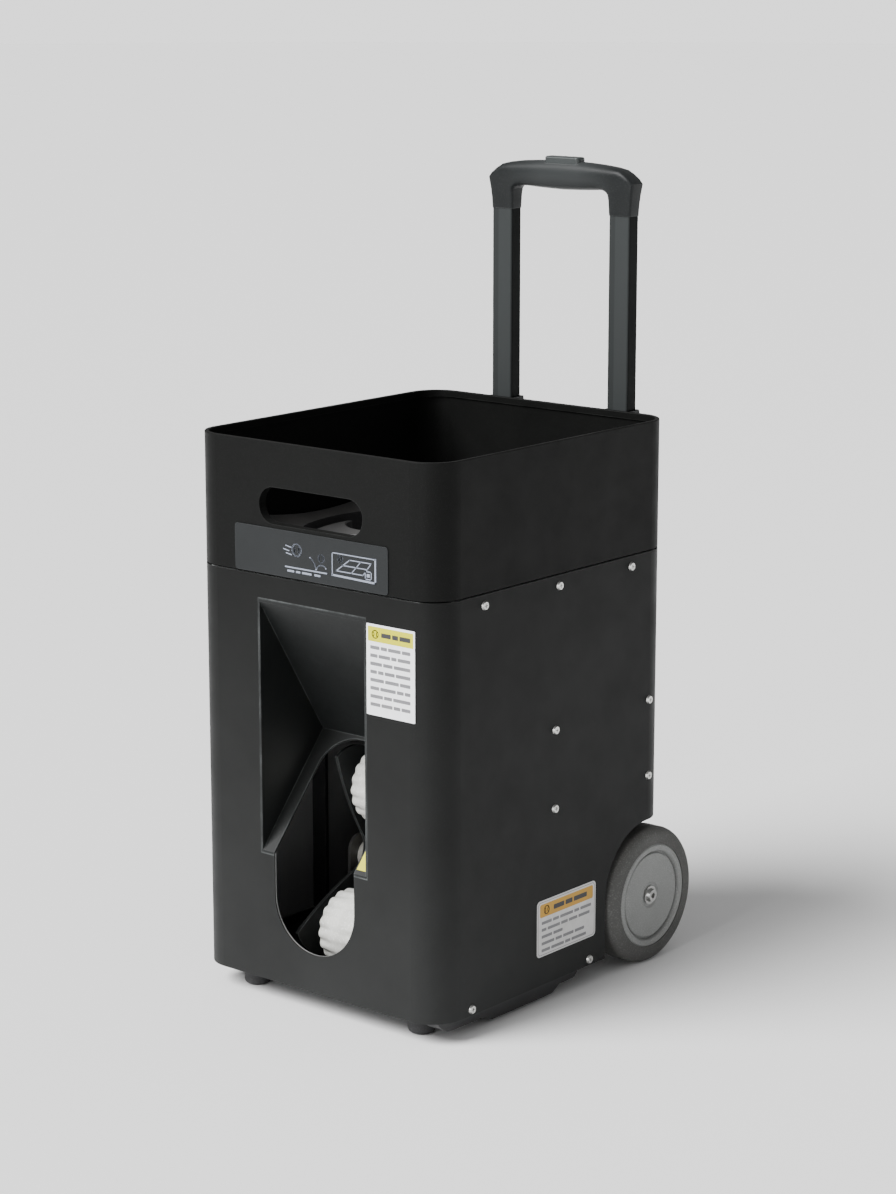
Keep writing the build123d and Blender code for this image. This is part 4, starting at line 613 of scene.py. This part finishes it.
# ---- grip --------------------------------------------------------------------------------
def rounded_grip():
    """Handle grip: boxy legs flush with the tubes, swelling into a rounded bar with a button pocket."""
    low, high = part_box("handle_grip")
    middle_y = (low[1] + high[1]) / 2
    # leg to middle, in millimetres: outer x and z, inner x and z, depth; the last value is squareness
    stations = (
        (-79.2, 676.0, -55.4, 676.0, 15.4, 9.0), (-79.4, 676.6, -55.2, 676.6, 15.8, 8.0),
        (-79.8, 685.0, -55.0, 683.5, 16.6, 8.0), (-80.9, 694.0, -54.7, 690.0, 17.8, 7.5),
        (-82.8, 705.0, -54.0, 694.4, 19.6, 7.0), (-79.2, 709.0, -52.2, 696.4, 20.3, 6.2),
        (-73.8, 713.4, -49.6, 697.4, 20.5, 5.0), (-68.6, 717.0, -46.8, 697.8, 20.5, 3.5),
        (-60.0, 719.0, -42.0, 697.7, 20.5, 2.6), (-46.0, 720.7, -34.0, 697.2, 20.5, 2.25),
        (-30.0, 721.7, -23.0, 696.6, 20.5, 2.15), (-15.0, 722.3, -11.5, 696.2, 20.5, 2.1),
        (0.0, 722.5, 0.0, 696.0, 20.5, 2.1),
    )
    mirrored = reversed(stations[:-1])
    stations += tuple((-outer_x, outer_z, -inner_x, *rest) for outer_x, outer_z, inner_x, *rest in mirrored)
    builder = bmesh.new()
    rings = []
    for outer_x, outer_z, inner_x, inner_z, depth, squareness in stations:
        ring = []
        for step in range(GRIP_POINTS):
            angle = 2 * math.pi * step / GRIP_POINTS
            along, across = math.cos(angle), math.sin(angle)
            along = math.copysign(abs(along) ** (2 / squareness), along)
            across = math.copysign(abs(across) ** (2 / squareness), across)
            x = (outer_x + inner_x) / 2 + along * (outer_x - inner_x) / 2
            z = (outer_z + inner_z) / 2 + along * (outer_z - inner_z) / 2
            ring.append(builder.verts.new((x / 1000, middle_y + across * depth / 2000, z / 1000)))
        rings.append(ring)
    for here, after in zip(rings, rings[1:]):
        for index in range(GRIP_POINTS):
            other = (index + 1) % GRIP_POINTS
            builder.faces.new((here[index], here[other], after[other], after[index]))
    builder.faces.new(rings[0])
    builder.faces.new(rings[-1])
    grip = new_object("grip_rounded", builder, "grip_plastic", "handle", smooth=32)
    pocket = bmesh.new()
    outline = []
    for side_x, side_y, start in ((1, 1, 0), (-1, 1, 90), (-1, -1, 180), (1, -1, 270)):
        corner = (side_x * POCKET_REACH_X, side_y * POCKET_REACH_Y)
        outline += arc_points(corner, POCKET_CORNER, start, start + 90, 6)
    prism(pocket, outline, Matrix.Translation((0.0, middle_y, POCKET_FLOOR)), POCKET_HEIGHT)
    mesh = bpy.data.meshes.new("pocket_cutter")
    bmesh.ops.recalc_face_normals(pocket, faces=pocket.faces)
    pocket.to_mesh(mesh)
    pocket.free()
    cutter = bpy.data.objects.new("pocket_cutter", mesh)
    bpy.context.scene.collection.objects.link(cutter)
    cut = grip.modifiers.new("pocket", "BOOLEAN")
    cut.object = cutter
    cut.operation = "DIFFERENCE"
    cut.solver = "EXACT"
    bpy.context.view_layer.update()
    result = bpy.data.meshes.new_from_object(grip.evaluated_get(bpy.context.evaluated_depsgraph_get()))
    grip.modifiers.clear()
    grip.data = result
    bpy.data.objects.remove(cutter)
    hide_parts("handle_grip")


# ---- stage -----------------------------------------------------------------------------
def stage_piece(name, builder, material):
    """Put a floor or backdrop mesh in the scene."""
    mesh = bpy.data.meshes.new(name)
    builder.to_mesh(mesh)
    builder.free()
    mesh.materials.append(material)
    piece = bpy.data.objects.new(name, mesh)
    bpy.context.scene.collection.objects.link(piece)
    return piece


def build_floor():
    """Plain pale floor."""
    material, tree = node_tree("pale_floor")
    shader = tree.nodes["Principled BSDF"]
    shader.inputs["Base Color"].default_value = (FLOOR_ALBEDO, FLOOR_ALBEDO, FLOOR_ALBEDO, 1.0)
    shader.inputs["Roughness"].default_value = 0.7
    shader.inputs["Specular IOR Level"].default_value = 0.2
    builder = bmesh.new()
    corners = ((-1, -1), (1, -1), (1, 1), (-1, 1))
    builder.faces.new([builder.verts.new((FLOOR_HALF * x, FLOOR_HALF * y, 0.0)) for x, y in corners])
    stage_piece("floor", builder, material)


def build_backdrop():
    """Distant pale wall round the floor, as bright as the floor, for views near the horizon."""
    material, tree = node_tree("pale_backdrop")
    shader = tree.nodes["Principled BSDF"]
    shader.inputs["Base Color"].default_value = (0.0, 0.0, 0.0, 1.0)
    shader.inputs["Specular IOR Level"].default_value = 0.0
    shader.inputs["Emission Color"].default_value = (1.0, 1.0, 1.0, 1.0)
    shader.inputs["Emission Strength"].default_value = WALL_GLOW
    builder = bmesh.new()
    posts = []
    for step in range(WALL_PANELS):
        angle = 2 * math.pi * step / WALL_PANELS
        x, y = WALL_RADIUS * math.cos(angle), WALL_RADIUS * math.sin(angle)
        posts.append([builder.verts.new((x, y, z)) for z in (WALL_FOOT, WALL_TOP)])
    for here, after in zip(posts, posts[1:] + posts[:1]):
        builder.faces.new((here[0], after[0], after[1], here[1]))
    wall = stage_piece("backdrop", builder, material)
    wall.visible_diffuse = False
    wall.visible_glossy = False
    wall.visible_shadow = False


def build_lights():
    """Pale surroundings, a large soft key from the front left and a faint tall strip in front."""
    world = bpy.data.worlds.new("studio")
    bpy.context.scene.world = world
    world.use_nodes = True
    backdrop = world.node_tree.nodes["Background"]
    backdrop.inputs["Color"].default_value = (1.0, 1.0, 1.0, 1.0)
    backdrop.inputs["Strength"].default_value = 0.40
    sun = bpy.data.lights.new("key", "SUN")
    sun.energy = 6.6
    sun.angle = math.radians(35.0)
    lamp = bpy.data.objects.new("key", sun)
    lamp.rotation_euler = Vector((0.50, 1.05, -1.20)).to_track_quat("-Z", "Y").to_euler()
    bpy.context.scene.collection.objects.link(lamp)
    strip = bpy.data.lights.new("strip", "AREA")
    strip.shape = "RECTANGLE"
    strip.size, strip.size_y = 0.35, 1.8
    strip.energy = 24.0
    strip.diffuse_factor = 0.1
    lamp = bpy.data.objects.new("strip", strip)
    lamp.location = (0.45, -3.2, 0.9)
    lamp.rotation_euler = (Vector((0.05, 0.0, 0.4)) - lamp.location).to_track_quat("-Z", "Y").to_euler()
    bpy.context.scene.collection.objects.link(lamp)


def build_camera():
    """Camera at the reference viewing angle."""
    lens = bpy.data.cameras.new("camera")
    lens.sensor_fit = "AUTO"
    lens.sensor_width = 36.0
    lens.lens = 88.73
    lens.clip_end = 200.0
    camera = bpy.data.objects.new("camera", lens)
    camera.location = (1.6475, -1.9784, 0.9147)
    camera.rotation_euler = (math.radians(77.49), 0.0, math.radians(39.79))
    bpy.context.scene.collection.objects.link(camera)
    bpy.context.scene.camera = camera


front_label_prints()
side_label_prints()
plate_prints()
lobed_tyre("upper_launch_tyre", "upper_launch_wheel")
lobed_tyre("lower_launch_tyre", "lower_launch_wheel")
rounded_grip()
build_floor()
build_backdrop()
build_lights()
build_camera()
